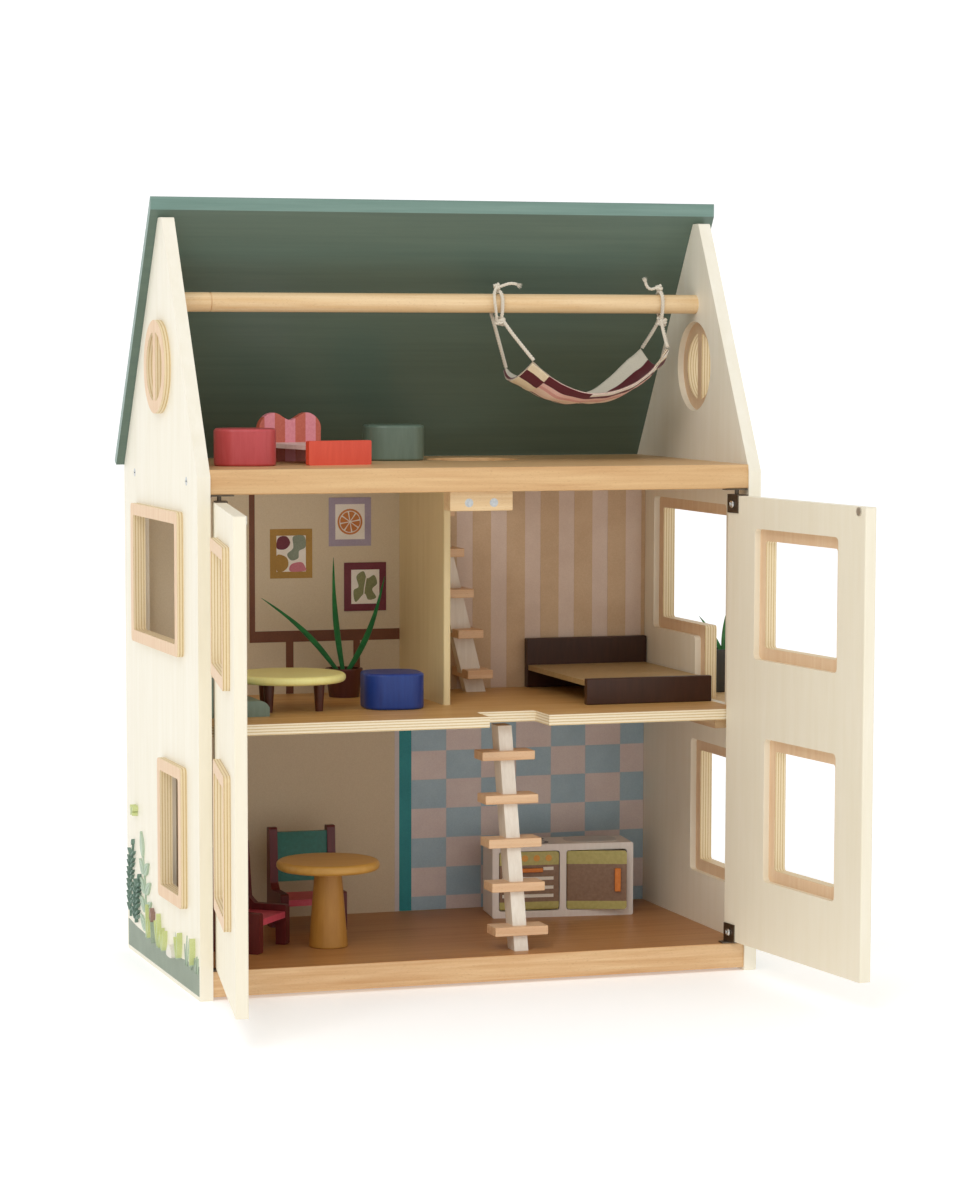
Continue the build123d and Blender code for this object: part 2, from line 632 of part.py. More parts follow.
def chair():
    """Facing -Y, centred: two dark side boards, seat and backrest between them."""
    f, b = -chair_deep / 2, chair_deep / 2
    outline = profile([(f, 0), (b, 0), (b, chair_high), (b - chair_post * 0.75, chair_high),
                       (b - chair_post, chair_arm_high + 6), (b - chair_post - 6, chair_arm_high),
                       (f, chair_arm_high)], 2.5)
    leg_gap = profile([(f + 11, -1), (b - 13, -1), (b - 13, 20), (f + 11, 20)], 2.0)
    board_ = extrude(outline, chair_side) - Pos(-1, 0, 0) * extrude(leg_gap, chair_side + 2)
    w = chair_wide / 2
    sides = [Pos(-w, 0, 0) * board_, Pos(w - chair_side, 0, 0) * board_]
    seat = box(-w + chair_side, w - chair_side, f + 1, b - 2, seat_top - seat_thick, seat_top)
    back = box(-w + chair_side, w - chair_side, b - 3 - rest_thick, b - 3, rest_low, rest_high)
    return sides, seat, back


for name, x, y, turn in (("chair_rear", -115.0, 53.0, 0.0), ("chair_side", -195.0, -36.0, 50.0)):
    sides, seat, back = chair()
    spot = dict(x=x, y=y, z=ground_floor_top, turn=turn)
    save(name + "_frame", *[put(s, **spot) for s in sides])
    save(name + "_seat", put(seat, **spot), put(back, **spot))

# -------------------------------------------------------------- round table
table_d, table_thick, table_high = 97.0, 9.0, 82.0
stem_top_d, stem_foot_d = 25.0, 37.0
table_at = (-122.5, -50.0)
disc = Pos(0, 0, table_high - table_thick / 2) * Cylinder(table_d / 2, table_thick)
disc = fillet(disc.edges(), 4.2)
stem_h = table_high - table_thick
stem = Pos(0, 0, stem_h / 2) * Cone(stem_foot_d / 2, stem_top_d / 2, stem_h)
stem = fillet(stem.edges().group_by(Axis.Z)[0], 1.2)
save("table_top", put(disc, *table_at, ground_floor_top))
save("table_pedestal", put(stem, *table_at, ground_floor_top))

# ------------------------------------------------------------- kitchen unit
kit_wide, kit_deep, kit_high, kit_wall = 142.0, 48.0, 72.5, 6.5
kit_at = (147.0, back_inner_y - 55.0)
kit_turn = -7.0
kit_door_thick, kit_door_gap = 5.0, 0.8
kit_pin_d = 2.4
bay_round = 3.0
cupboard_ajar = 11.0
bay = (kit_wide - 3 * kit_wall) / 2
f = -kit_deep / 2
body = box(-kit_wide / 2, kit_wide / 2, f, -f, 0, kit_high)
body = fillet(body.edges().filter_by(Axis.Y), 2.0)
bays = []
for x0 in (-kit_wide / 2 + kit_wall, kit_wall / 2):
    room = box(x0, x0 + bay, f - 1, -f - 4, kit_wall, kit_high - kit_wall)
    body -= fillet(room.edges().filter_by(Axis.Y), bay_round)
    bays.append((x0, x0 + bay))

door_y0 = f + 0.8
door_mid = door_y0 + kit_door_thick / 2
kz0, kz1 = kit_wall + kit_door_gap, kit_high - kit_wall - kit_door_gap


def leaf_outline(x0, x1):
    """The kitchen doors' corners are as round as their bays."""
    prism = box(x0, x1, door_y0, door_y0 + kit_door_thick, kz0, kz1)
    return fillet(prism.edges().filter_by(Axis.Y), bay_round)


# oven door: turns down about a pin along X near its lower edge
ox0, ox1 = bays[0][0] + kit_door_gap, bays[0][1] - kit_door_gap
oven_axis = (door_mid, kz0 + 3.4)
oven = box(ox0, ox1, door_y0, door_y0 + kit_door_thick, kz0, kz1)
oven -= x_rod(ox0 - 1, ox1 + 1, *oven_axis, kit_pin_d + 2 * pin_clearance)
oven = fillet(oven.edges().filter_by(Axis.X).group_by(Axis.Z)[0], 2.4)
oven &= leaf_outline(ox0, ox1)
oven_pin = x_rod(bays[0][0] - 3, bays[0][1] + 3, *oven_axis, kit_pin_d)
oven_bar = (soft_box((ox0 + ox1) / 2 - 13, (ox0 + ox1) / 2 + 13, door_y0 - 4.5, door_y0 - 1.5,
                     kz1 - 20, kz1 - 16, 0.8)
            + box((ox0 + ox1) / 2 - 11, (ox0 + ox1) / 2 - 8, door_y0 - 2.5, door_y0, kz1 - 19.5, kz1 - 16.5)
            + box((ox0 + ox1) / 2 + 8, (ox0 + ox1) / 2 + 11, door_y0 - 2.5, door_y0, kz1 - 19.5, kz1 - 16.5))

# cupboard door: turns about an upright pin near its left edge
cx0, cx1 = bays[1][0] + kit_door_gap, bays[1][1] - kit_door_gap
cup_axis = (cx0 + 3.2, door_mid)
cup = box(cx0, cx1, door_y0, door_y0 + kit_door_thick, kz0, kz1)
cup = fillet(cup.edges().filter_by(Axis.Z).group_by(Axis.X)[0], 2.4)
cup &= leaf_outline(cx0, cx1)
cup -= Pos(cup_axis[0], cup_axis[1], kit_high / 2) * Cylinder(kit_pin_d / 2 + pin_clearance, kit_high)
cup_pin = Pos(cup_axis[0], cup_axis[1], kit_high / 2) * Cylinder(kit_pin_d / 2, kit_high - 2 * kit_wall + 6)
cup_bar = soft_box(cx1 - 12, cx1 - 6, door_y0 - 4.5, door_y0, kit_high / 2 - 11, kit_high / 2 + 12, 0.8)
swing = Pos(cup_axis[0], cup_axis[1], 0) * (Rot(0, 0, -cupboard_ajar) * Pos(-cup_axis[0], -cup_axis[1], 0))
body = body - oven_pin - cup_pin

kit = dict(x=kit_at[0], y=kit_at[1], z=ground_floor_top, turn=kit_turn)
save("kitchen_body", put(body, **kit), put(oven_pin, **kit), put(cup_pin, **kit))
save("kitchen_oven_door", put(oven + oven_bar, **kit))
save("kitchen_cupboard_door", put(swing * (cup + cup_bar), **kit))
a = math.radians(kit_turn)
for label, (px, py, pz) in (("oven axis", (0, *oven_axis)), ("cupboard axis", (*cup_axis, kit_high / 2))):
    print(label, round(kit_at[0] + px * math.cos(a) - py * math.sin(a), 3),
          round(kit_at[1] + px * math.sin(a) + py * math.cos(a), 3), round(ground_floor_top + pz, 3))
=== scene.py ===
import bpy
import math
import random
from mathutils import Matrix, Vector


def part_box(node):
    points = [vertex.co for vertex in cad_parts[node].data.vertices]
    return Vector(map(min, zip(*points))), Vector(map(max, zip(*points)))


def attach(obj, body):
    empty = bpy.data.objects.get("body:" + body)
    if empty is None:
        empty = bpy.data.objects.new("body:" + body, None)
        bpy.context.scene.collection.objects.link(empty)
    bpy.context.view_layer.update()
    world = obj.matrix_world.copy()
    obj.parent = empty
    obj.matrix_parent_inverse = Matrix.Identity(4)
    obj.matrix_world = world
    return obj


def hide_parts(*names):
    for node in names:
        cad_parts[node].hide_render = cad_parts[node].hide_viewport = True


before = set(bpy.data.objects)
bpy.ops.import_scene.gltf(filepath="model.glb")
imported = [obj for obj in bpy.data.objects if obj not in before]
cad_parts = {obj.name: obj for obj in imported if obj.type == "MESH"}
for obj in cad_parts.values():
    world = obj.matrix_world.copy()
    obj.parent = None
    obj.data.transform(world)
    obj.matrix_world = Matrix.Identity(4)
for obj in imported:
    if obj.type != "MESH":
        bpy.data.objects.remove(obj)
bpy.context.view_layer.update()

# ---------------------------------------------------------------- viewpoint
# A long lens a good three metres away, a little above the middle floor and
# to the left of the house, looking slightly down.
eye = Vector((-1.00793, -3.21321, 0.59944))
yaw, pitch, roll = 0.3162, -0.1032, 0.002
ahead = Vector((math.sin(yaw) * math.cos(pitch), math.cos(yaw) * math.cos(pitch), math.sin(pitch)))
level = Vector((math.cos(yaw), -math.sin(yaw), 0))
right = level * math.cos(roll) + level.cross(ahead) * math.sin(roll)
above = right.cross(ahead)
lens = bpy.data.cameras.new("camera")
lens.lens, lens.sensor_width = 106.13, 36.0
lens.shift_y = 100 / 1200
lens.clip_start, lens.clip_end = 0.1, 60
camera = bpy.data.objects.new("camera", lens)
camera.matrix_world = Matrix((
    (right.x, above.x, -ahead.x, eye.x), (right.y, above.y, -ahead.y, eye.y),
    (right.z, above.z, -ahead.z, eye.z), (0, 0, 0, 1)))
bpy.context.scene.collection.objects.link(camera)
bpy.context.scene.camera = camera


# ------------------------------------------------------------ hammock ropes
# Bleached cotton cord of three twisted strands. Each rope is knotted just
# below the round rod, goes over it and down again to both ends of one hem.
def linear(code):
    """An sRGB hex colour as a linear colour."""
    parts = [int(code[i:i + 2], 16) / 255 for i in (1, 3, 5)]
    return tuple(c / 12.92 if c <= 0.04045 else ((c + 0.055) / 1.055) ** 2.4 for c in parts) + (1.0,)


def new_material(name):
    m = bpy.data.materials.new(name)
    m.use_nodes = True
    m.node_tree.nodes.clear()
    return m


def node(mat, kind, links=None, ramp=None, **settings):
    """Adds a node: links maps its sockets to values or to other sockets."""
    n = mat.node_tree.nodes.new(kind)
    for key, value in settings.items():
        setattr(n, key, value)
    for stop, (place, code) in enumerate(ramp or ()):
        e = n.color_ramp.elements[stop] if stop < 2 else n.color_ramp.elements.new(place)
        e.position, e.color = place, linear(code)
    for key, value in (links or {}).items():
        if isinstance(value, bpy.types.NodeSocket):
            mat.node_tree.links.new(value, n.inputs[key])
        elif isinstance(value, str):
            n.inputs[key].default_value = linear(value)
        else:
            n.inputs[key].default_value = value
    return n


def surface(mat, colour, bump=None, **values):
    """The shader that every finish here ends in."""
    links = {"Base Color": colour}
    links.update({k.replace("_", " "): v for k, v in values.items()})
    if bump is not None:
        links["Normal"] = bump
    shader = node(mat, "ShaderNodeBsdfPrincipled", links)
    node(mat, "ShaderNodeOutputMaterial", {"Surface": shader.outputs[0]})
    return mat


# Cotton: matt, with a soft sheen and loose fibres 0.2 mm apart, drawn a
# little coarser so that they show.
cotton_cord = new_material("bleached_cotton_cord")
where = node(cotton_cord, "ShaderNodeTexCoord").outputs["Object"]
fibre = node(cotton_cord, "ShaderNodeTexNoise", {"Vector": where, "Scale": 2600.0, "Detail": 3.0})
tone = node(cotton_cord, "ShaderNodeValToRGB", {"Fac": fibre.outputs[0]},
            [(0.3, "#d9cdb6"), (0.7, "#f4ecdd")])
fuzz = node(cotton_cord, "ShaderNodeBump", {"Height": fibre.outputs[0], "Strength": 0.5, "Distance": 0.0004})
surface(cotton_cord, tone.outputs[0], fuzz.outputs[0], Roughness=0.9, Sheen_Weight=0.35, Sheen_Roughness=0.5)


def piece(name, verts, faces, mats, body, smooth=True, face_mats=None):
    """A mesh object that rides on a body."""
    mesh = bpy.data.meshes.new(name)
    mesh.from_pydata([tuple(v) for v in verts], [], faces)
    for m in mats:
        mesh.materials.append(m)
    if face_mats:
        mesh.polygons.foreach_set("material_index", face_mats)
    mesh.polygons.foreach_set("use_smooth", [smooth] * len(mesh.polygons))
    mesh.update()
    o = bpy.data.objects.new(name, mesh)
    bpy.context.scene.collection.objects.link(o)
    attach(o, body)
    return o


def spline_line(points):
    """Points read from one smooth spline with a few control points."""
    curve = bpy.data.curves.new("route", "CURVE")
    curve.dimensions = "3D"
    curve.resolution_u = 24
    s = curve.splines.new("NURBS")
    s.points.add(len(points) - 1)
    for p, co in zip(s.points, points):
        p.co = (*co, 1)
    s.order_u = 3
    s.use_endpoint_u = True
    holder = bpy.data.objects.new("route", curve)
    bpy.context.scene.collection.objects.link(holder)
    read = bpy.data.meshes.new_from_object(holder)
    line = [v.co.copy() for v in read.vertices]
    bpy.data.meshes.remove(read)
    bpy.data.objects.remove(holder)
    bpy.data.curves.remove(curve)
    return line


def evenly(line, step):
    """The same line with points a step apart."""
    out, carry = [line[0]], 0.0
    for a, b in zip(line, line[1:]):
        gap = (b - a).length
        while gap > 1e-9 and carry + gap >= step:
            a = a.lerp(b, (step - carry) / gap)
            out.append(a)
            gap, carry = (b - a).length, 0.0
        carry += gap
    if (out[-1] - line[-1]).length > step * 0.2:
        out.append(line[-1])
    return out


def twisted(line, thick, lay=0.0085, strands=3, sides=8):
    """Three strands laid round a line; thick is the whole rope's diameter."""
    verts, faces = [], []
    line = evenly(line, 0.0006)
    strand = thick * 0.25
    side = Vector((1, 0.2, 0.1))
    run = [(b - a).normalized() for a, b in zip(line, line[1:])]
    run.append(run[-1])
    frames = []
    for d in run:
        side = (side - d * side.dot(d)).normalized()
        frames.append((side.copy(), d.cross(side)))
    for k in range(strands):
        base = len(verts)
        for i, (p, (u, v)) in enumerate(zip(line, frames)):
            a = 2 * math.pi * (i * 0.0006 / lay + k / strands)
            out = u * math.cos(a) + v * math.sin(a)
            centre = p + out * (thick / 2 - strand)
            across = run[i].cross(out)
            for j in range(sides):
                b = 2 * math.pi * j / sides
                verts.append(centre + (out * math.cos(b) + across * math.sin(b)) * strand)
        for i in range(len(line) - 1):
            for j in range(sides):
                a, b = base + i * sides + j, base + i * sides + (j + 1) % sides
                faces.append((a, b, b + sides, a + sides))
        faces.append(tuple(base + j for j in reversed(range(sides))))
        end = base + (len(line) - 1) * sides
        faces.append(tuple(end + j for j in range(sides)))
    return verts, faces


def wrapped_knot(name, at, across, turns, lean):
    """The knot as it lies when pulled tight: a few close turns and a tuck."""
    line = []
    for i in range(int(turns * 40) + 1):
        a = 2 * math.pi * i / 40
        wave = 1 + 0.10 * math.sin(a * 0.5)
        line.append(Vector((math.cos(a) * across * wave, math.sin(a) * across * 0.85,
                            (i / 40 - turns / 2) * 0.0027 + 0.0006 * math.sin(a + 1))))
    line.append(line[-1] + Vector((-0.001, -0.0016, -0.0006)))
    tip = Matrix.Rotation(lean, 3, "Y")
    verts, faces = twisted([tip @ p + Vector(at) for p in line], 0.0033)
    return piece(name, verts, faces, [cotton_cord], "hammock")


def frayed_end(name, at, toward, seed):
    """Loose fibres where the cord was cut."""
    rng = random.Random(seed)
    verts, faces = [], []
    toward = Vector(toward).normalized()
    for _ in range(46):
        spread = Vector([rng.gauss(0, 1) for _ in range(3)])
        spread = (spread - toward * spread.dot(toward)).normalized() * rng.uniform(0.1, 1.0)
        long = rng.uniform(0.003, 0.0055)
        p = Vector(at) + spread * 0.0009
        q = p + (toward + spread * 0.45).normalized() * long
        m = (p + q) / 2 + spread * 0.0004
        for a, b, ra, rb in ((p, m, 0.00022, 0.0002), (m, q, 0.0002, 0.00008)):
            base = len(verts)
            u = (b - a).orthogonal().normalized()
            v = (b - a).normalized().cross(u)
            for c, r in ((a, ra), (b, rb)):
                for j in range(4):
                    w = math.pi / 2 * j
                    verts.append(c + (u * math.cos(w) + v * math.sin(w)) * r)
            faces += [(base + j, base + (j + 1) % 4, base + 4 + (j + 1) % 4, base + 4 + j) for j in range(4)]
            faces += [(base + 3, base + 2, base + 1, base), (base + 4, base + 5, base + 6, base + 7)]
    return piece(name, verts, faces, [cotton_cord], "hammock")


rope_thick = 0.0034
ropes = {
    "hammock_rope_left": dict(
        route=[(0.0842, -0.0365, 0.5745), (0.058, -0.015, 0.6124), (0.058, -0.0216, 0.6194),
               (0.058, -0.0216, 0.6396), (0.056, 0.0016, 0.6396), (0.054, 0.0016, 0.6194),
               (0.054, -0.005, 0.6124), (0.0742, 0.0168, 0.5672)],
        knot=(0.0575, -0.0155, 0.6110), top=(0.0548, -0.0140, 0.6434),
        tail=[(0.0535, -0.0165, 0.6120), (0.0515, -0.0224, 0.6185), (0.0495, -0.0222, 0.6325),
              (0.052, -0.0165, 0.6423), (0.060, -0.0150, 0.6445), (0.068, -0.0165, 0.6475),
              (0.0735, -0.0180, 0.6460)], end=(0.9, -0.2, -0.55), seed=4),
    "hammock_rope_right": dict(
        route=[(0.2196, -0.0362, 0.5872), (0.220, -0.015, 0.6124), (0.220, -0.0216, 0.6194),
               (0.220, -0.0216, 0.6396), (0.222, 0.0016, 0.6396), (0.224, 0.0016, 0.6194),
               (0.224, -0.005, 0.6124), (0.2136, 0.0168, 0.5862)],
        knot=(0.2215, -0.0155, 0.6110), top=(0.2195, -0.0125, 0.6431),
        tail=[(0.2225, -0.0145, 0.6427), (0.2165, -0.0135, 0.6437), (0.2105, -0.0145, 0.6415),
              (0.2055, -0.0155, 0.6445), (0.2045, -0.0155, 0.6485)], end=(-0.35, 0.0, 1.0), seed=9),
}
for name, r in ropes.items():
    line = spline_line(r["route"])
    verts, faces = twisted(line, rope_thick * 1.12)
    rope = piece(name.replace("hammock_rope", "cotton_rope"), verts, faces, [cotton_cord], "hammock")
    tail_line = spline_line(r["tail"])
    tv, tf = twisted(tail_line, 0.0031)
    tail = piece(name.replace("hammock_rope", "rope_tail"), tv, tf, [cotton_cord], "hammock")
    knots = [wrapped_knot(name.replace("hammock_rope", "lower_knot"), r["knot"], 0.0036, 2.4, 0.15),
             wrapped_knot(name.replace("hammock_rope", "upper_knot"), r["top"], 0.0021, 1.6, 1.2)]
    frayed = frayed_end(name.replace("hammock_rope", "frayed_end"), tail_line[-1], r["end"], r["seed"])
    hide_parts(name)

# ------------------------------------------------------------ hammock cloth
# A strip of plain-woven striped cotton, about 165 mm by 62 mm as it hangs.
# Both ends are folded over and stitched down to make tunnels for the ropes,
# and the front edge has a narrow white roll.
striped_cotton = new_material("striped_woven_cotton")
spot = node(striped_cotton, "ShaderNodeUVMap", uv_map="weave").outputs[0]
axes = node(striped_cotton, "ShaderNodeSeparateXYZ", {0: spot})
# the first half of each ramp is the outside of the sling, the second the inside
stripes = [(0.0, "#5e1420"), (0.07, "#eec5ba"), (0.105, "#e0a59c"), (0.135, "#f2d7c4"), (0.25, "#5a1420"),
           (0.275, "#efdcc6"), (0.36, "#641823"), (0.44, "#ecd9c0"), (0.5, "#f3ecdf"), (0.53, "#591019"),
           (0.885, "#d9d2bf")]
hem_stripes = [(0.0, "#ead9b8"), (0.055, "#5c121c"), (0.15, "#ecdcba"), (0.30, "#5c121c"), (0.36, "#ead9bd"),
               (0.46, "#5c121c"), (0.5, "#dccfb8"), (0.54, "#5a1019"), (0.885, "#d9d2bf")]
half_way = node(striped_cotton, "ShaderNodeMath", {0: axes.outputs["Y"], 1: 0.5}, operation="MULTIPLY")
band = node(striped_cotton, "ShaderNodeValToRGB", {"Fac": half_way.outputs[0]}, stripes)
band.color_ramp.interpolation = "CONSTANT"
end_band = node(striped_cotton, "ShaderNodeValToRGB", {"Fac": half_way.outputs[0]}, hem_stripes)
end_band.color_ramp.interpolation = "CONSTANT"
middle_off = node(striped_cotton, "ShaderNodeMath", {0: axes.outputs["X"], 1: 0.5}, operation="SUBTRACT")
middle_off = node(striped_cotton, "ShaderNodeMath", {0: middle_off.outputs[0]}, operation="ABSOLUTE")
at_end = node(striped_cotton, "ShaderNodeMath", {0: middle_off.outputs[0], 1: 0.385},
              operation="GREATER_THAN")
seen = node(striped_cotton, "ShaderNodeMix", {"Factor": at_end.outputs[0], 6: band.outputs[0],
                                              7: end_band.outputs[0]}, data_type="RGBA")
# the white rolled edge along the front, from the middle to the right hem
across_strip = node(striped_cotton, "ShaderNodeMath", {0: axes.outputs["Y"]}, operation="FRACT")
edge_on = node(striped_cotton, "ShaderNodeMath", {0: across_strip.outputs[0], 1: 0.075},
               operation="LESS_THAN")
past = node(striped_cotton, "ShaderNodeMath", {0: axes.outputs["X"], 1: 0.42}, operation="GREATER_THAN")
edge_on = node(striped_cotton, "ShaderNodeMath", {0: edge_on.outputs[0], 1: past.outputs[0]},
               operation="MULTIPLY")
seen = node(striped_cotton, "ShaderNodeMix", {"Factor": edge_on.outputs[0], 6: seen.outputs[2], 7: "#f6f1e6"},
            data_type="RGBA")
# threads 0.45 mm apart, drawn about 1 mm apart so that they show
threads = node(striped_cotton, "ShaderNodeMapping", {"Vector": spot, "Scale": (520.0, 215.0, 1.0)})
warp = node(striped_cotton, "ShaderNodeSeparateXYZ", {0: threads.outputs[0]})
warp_wave = node(striped_cotton, "ShaderNodeMath", {0: warp.outputs["X"]}, operation="SINE")
weft_wave = node(striped_cotton, "ShaderNodeMath", {0: warp.outputs["Y"]}, operation="SINE")
crossing = node(striped_cotton, "ShaderNodeMath", {0: warp_wave.outputs[0], 1: weft_wave.outputs[0]},
                operation="MULTIPLY")
slub = node(striped_cotton, "ShaderNodeTexNoise", {"Vector": spot, "Scale": 130.0, "Detail": 4.0})
shade = node(striped_cotton, "ShaderNodeMapRange", {"Value": slub.outputs[0], "From Min": 0.3,
                                                    "From Max": 0.7, "To Min": 0.86, "To Max": 1.06})
cloth_tone = node(striped_cotton, "ShaderNodeVectorMath", {0: seen.outputs[2], "Scale": shade.outputs[0]},
                  operation="SCALE")
weave = node(striped_cotton, "ShaderNodeBump", {"Height": crossing.outputs[0], "Strength": 0.35,
                                                "Distance": 0.0002})
surface(striped_cotton, cloth_tone.outputs[0], weave.outputs[0], Roughness=0.92, Sheen_Weight=0.2)


def between(p, f):
    """The Catmull-Rom point a share f of the way from p[1] to p[2]."""
    return 0.5 * ((2 * p[1]) + (p[2] - p[0]) * f + (2 * p[0] - 5 * p[1] + 4 * p[2] - p[3]) * f * f
                  + (3 * p[1] - p[0] - 3 * p[2] + p[3]) * f * f * f)


def smooth_along(points, t):
    """The place t on a smooth line whose points are spread evenly over 0 to 1."""
    n = len(points) - 1
    i = min(int(t * n), n - 1)
    f = t * n - i
    return between([Vector(points[max(0, min(n, k))]) for k in (i - 1, i, i + 1, i + 2)], f)


front_edge = [(0.0830, -0.0370, 0.5728), (0.1010, -0.0372, 0.5588), (0.1180, -0.0368, 0.5496),
              (0.1370, -0.0362, 0.5436), (0.1560, -0.0362, 0.5433), (0.1740, -0.0366, 0.5472),
              (0.1910, -0.0368, 0.5552), (0.2060, -0.0370, 0.5672), (0.2190, -0.0368, 0.5850)]
belly = [(0.0715, -0.0130, 0.5565), (0.0905, -0.0120, 0.5455), (0.1090, -0.0110, 0.5366),
         (0.1270, -0.0105, 0.5330), (0.1450, -0.0100, 0.5325), (0.1630, -0.0100, 0.5352),
         (0.1820, -0.0105, 0.5425), (0.2010, -0.0110, 0.5540), (0.2185, -0.0105, 0.5690)]
rear_edge = [(0.0728, 0.0165, 0.5655), (0.0880, 0.0175, 0.5560), (0.1050, 0.0172, 0.5478),
             (0.1230, 0.0168, 0.5428), (0.1420, 0.0165, 0.5408), (0.1620, 0.0165, 0.5448),
             (0.1800, 0.0168, 0.5572), (0.1965, 0.0170, 0.5716), (0.2125, 0.0168, 0.5842)]
cloth_thick = 0.0009
across_n, along_n = 30, 96
rng = random.Random(11)
dents = [(rng.uniform(0.1, 0.9), rng.uniform(0.1, 0.9), rng.uniform(-0.0011, 0.0011)) for _ in range(14)]


def on_cloth(s, t):
    """s runs along the strip from hem to hem, t across it from front to rear."""
    f, b, r = (smooth_along(e, s) for e in (front_edge, belly, rear_edge))
    p = f * (1 - t) * (1 - 2 * t) + b * 4 * t * (1 - t) + r * t * (2 * t - 1)
    for ds, dt, deep in dents:
        p.z += deep * math.exp(-((s - ds) / 0.07) ** 2 - ((t - dt) / 0.16) ** 2)
    p.z += 0.0005 * math.sin(s * 41 + t * 5) * (1 - abs(2 * t - 1)) ** 0.5
    return p


def cloth_shell():
    """The strip with its real thickness, thicker where the hems are doubled."""
    verts, faces, uvs = [], [], []
    for layer in (0, 1):
        for i in range(along_n + 1):
            for j in range(across_n + 1):
                s, t = i / along_n, j / across_n
                p = on_cloth(s, t)
                ds = on_cloth(min(1, s + 0.004), t) - on_cloth(max(0, s - 0.004), t)
                dt = on_cloth(s, min(1, t + 0.01)) - on_cloth(s, max(0, t - 0.01))
                up = ds.cross(dt).normalized()
                from_end = min(s, 1 - s)
                hem = 0.0014 * max(0, 1 - (from_end / 0.055) ** 2) + 0.00045 * (0.09 < from_end < 0.115)
                edge = 0.0004 * (min(t, 1 - t) < 0.03)
                half = cloth_thick / 2 + hem + edge
                verts.append(p + up * (half if layer == 0 else -half))
                uvs.append((s, min(0.999, t) + (1 if layer == 0 else 0)))
    row, sheet = across_n + 1, (along_n + 1) * (across_n + 1)
    for i in range(along_n):
        for j in range(across_n):
            a = i * row + j
            faces.append((a, a + row, a + row + 1, a + 1))
            faces.append((sheet + a, sheet + a + 1, sheet + a + row + 1, sheet + a + row))
    for i in range(along_n):
        for j in (0, across_n):
            a = i * row + j
            quad = (a, a + row, a + row + sheet, a + sheet)
            faces.append(quad if j else quad[::-1])
    for j in range(across_n):
        for i in (0, along_n):
            a = i * row + j
            quad = (a, a + 1, a + 1 + sheet, a + sheet)
            faces.append(quad[::-1] if i else quad)
    return verts, faces, uvs


verts, faces, uvs = cloth_shell()
cloth = piece("hammock_sling", verts, faces, [striped_cotton], "hammock")
layer = cloth.data.uv_layers.new(name="weave")
for loop in cloth.data.loops:
    layer.data[loop.index].uv = uvs[loop.vertex_index]
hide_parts("hammock_cloth")

# stitches 2.2 mm long that hold each tunnel shut, in undyed thread
thread = new_material("undyed_sewing_thread")
where = node(thread, "ShaderNodeTexCoord").outputs["Object"]
twist = node(thread, "ShaderNodeTexNoise", {"Vector": where, "Scale": 3000.0})
tone = node(thread, "ShaderNodeValToRGB", {"Fac": twist.outputs[0]}, [(0.3, "#d8cbb0"), (0.7, "#f1e8d6")])
surface(thread, tone.outputs[0], Roughness=0.75, Sheen_Weight=0.3)
verts, faces = [], []
for s in (0.118, 0.882):
    for k in range(24):
        t0, t1 = 0.03 + k * 0.0395, 0.03 + k * 0.0395 + 0.028
        for out in (1, -1):
            ends = []
            for t in (t0, t1):
                p = on_cloth(s, t)
                up = (on_cloth(s + 0.004, t) - on_cloth(s - 0.004, t)).cross(
                    on_cloth(s, t + 0.01) - on_cloth(s, t - 0.01)).normalized()
                ends.append(p + up * out * (cloth_thick / 2 + 0.00012))
            a, b = ends
            u = (b - a).normalized()
            v = (on_cloth(s + 0.004, t0) - on_cloth(s, t0)).normalized()
            w = u.cross(v)
            base = len(verts)
            for c, r in ((a, 0.00008), (a.lerp(b, 0.5), 0.0002), (b, 0.00008)):
                for j in range(5):
                    g = 2 * math.pi * j / 5
                    verts.append(c + (v * math.cos(g) + w * math.sin(g)) * r)
            for i in range(2):
                for j in range(5):
                    p0, p1 = base + i * 5 + j, base + i * 5 + (j + 1) % 5
                    faces.append((p0, p1, p1 + 5, p0 + 5))
            faces += [tuple(base + j for j in range(5)), tuple(base + 14 - j for j in range(5))]
stitches = piece("hem_stitches", verts, faces, [thread], "hammock")

# ------------------------------------------------------------ painted boards
# The shell is 12 mm birch plywood, filled at its edges and sprayed cream all
# over, so that no ply shows. The side panels stand on the table and carry
# every floor.
def thing(name):
    """A node of the frame, as its object."""
    return bpy.data.objects[name]


def finish(name, *mats):
    """Gives a node's slots their materials."""
    slots = thing(name).material_slots
    for i in range(max(1, len(slots))):
        if i < len(slots):
            slots[i].material = mats[min(i, len(mats) - 1)]
        else:
            thing(name).data.materials.append(mats[0])


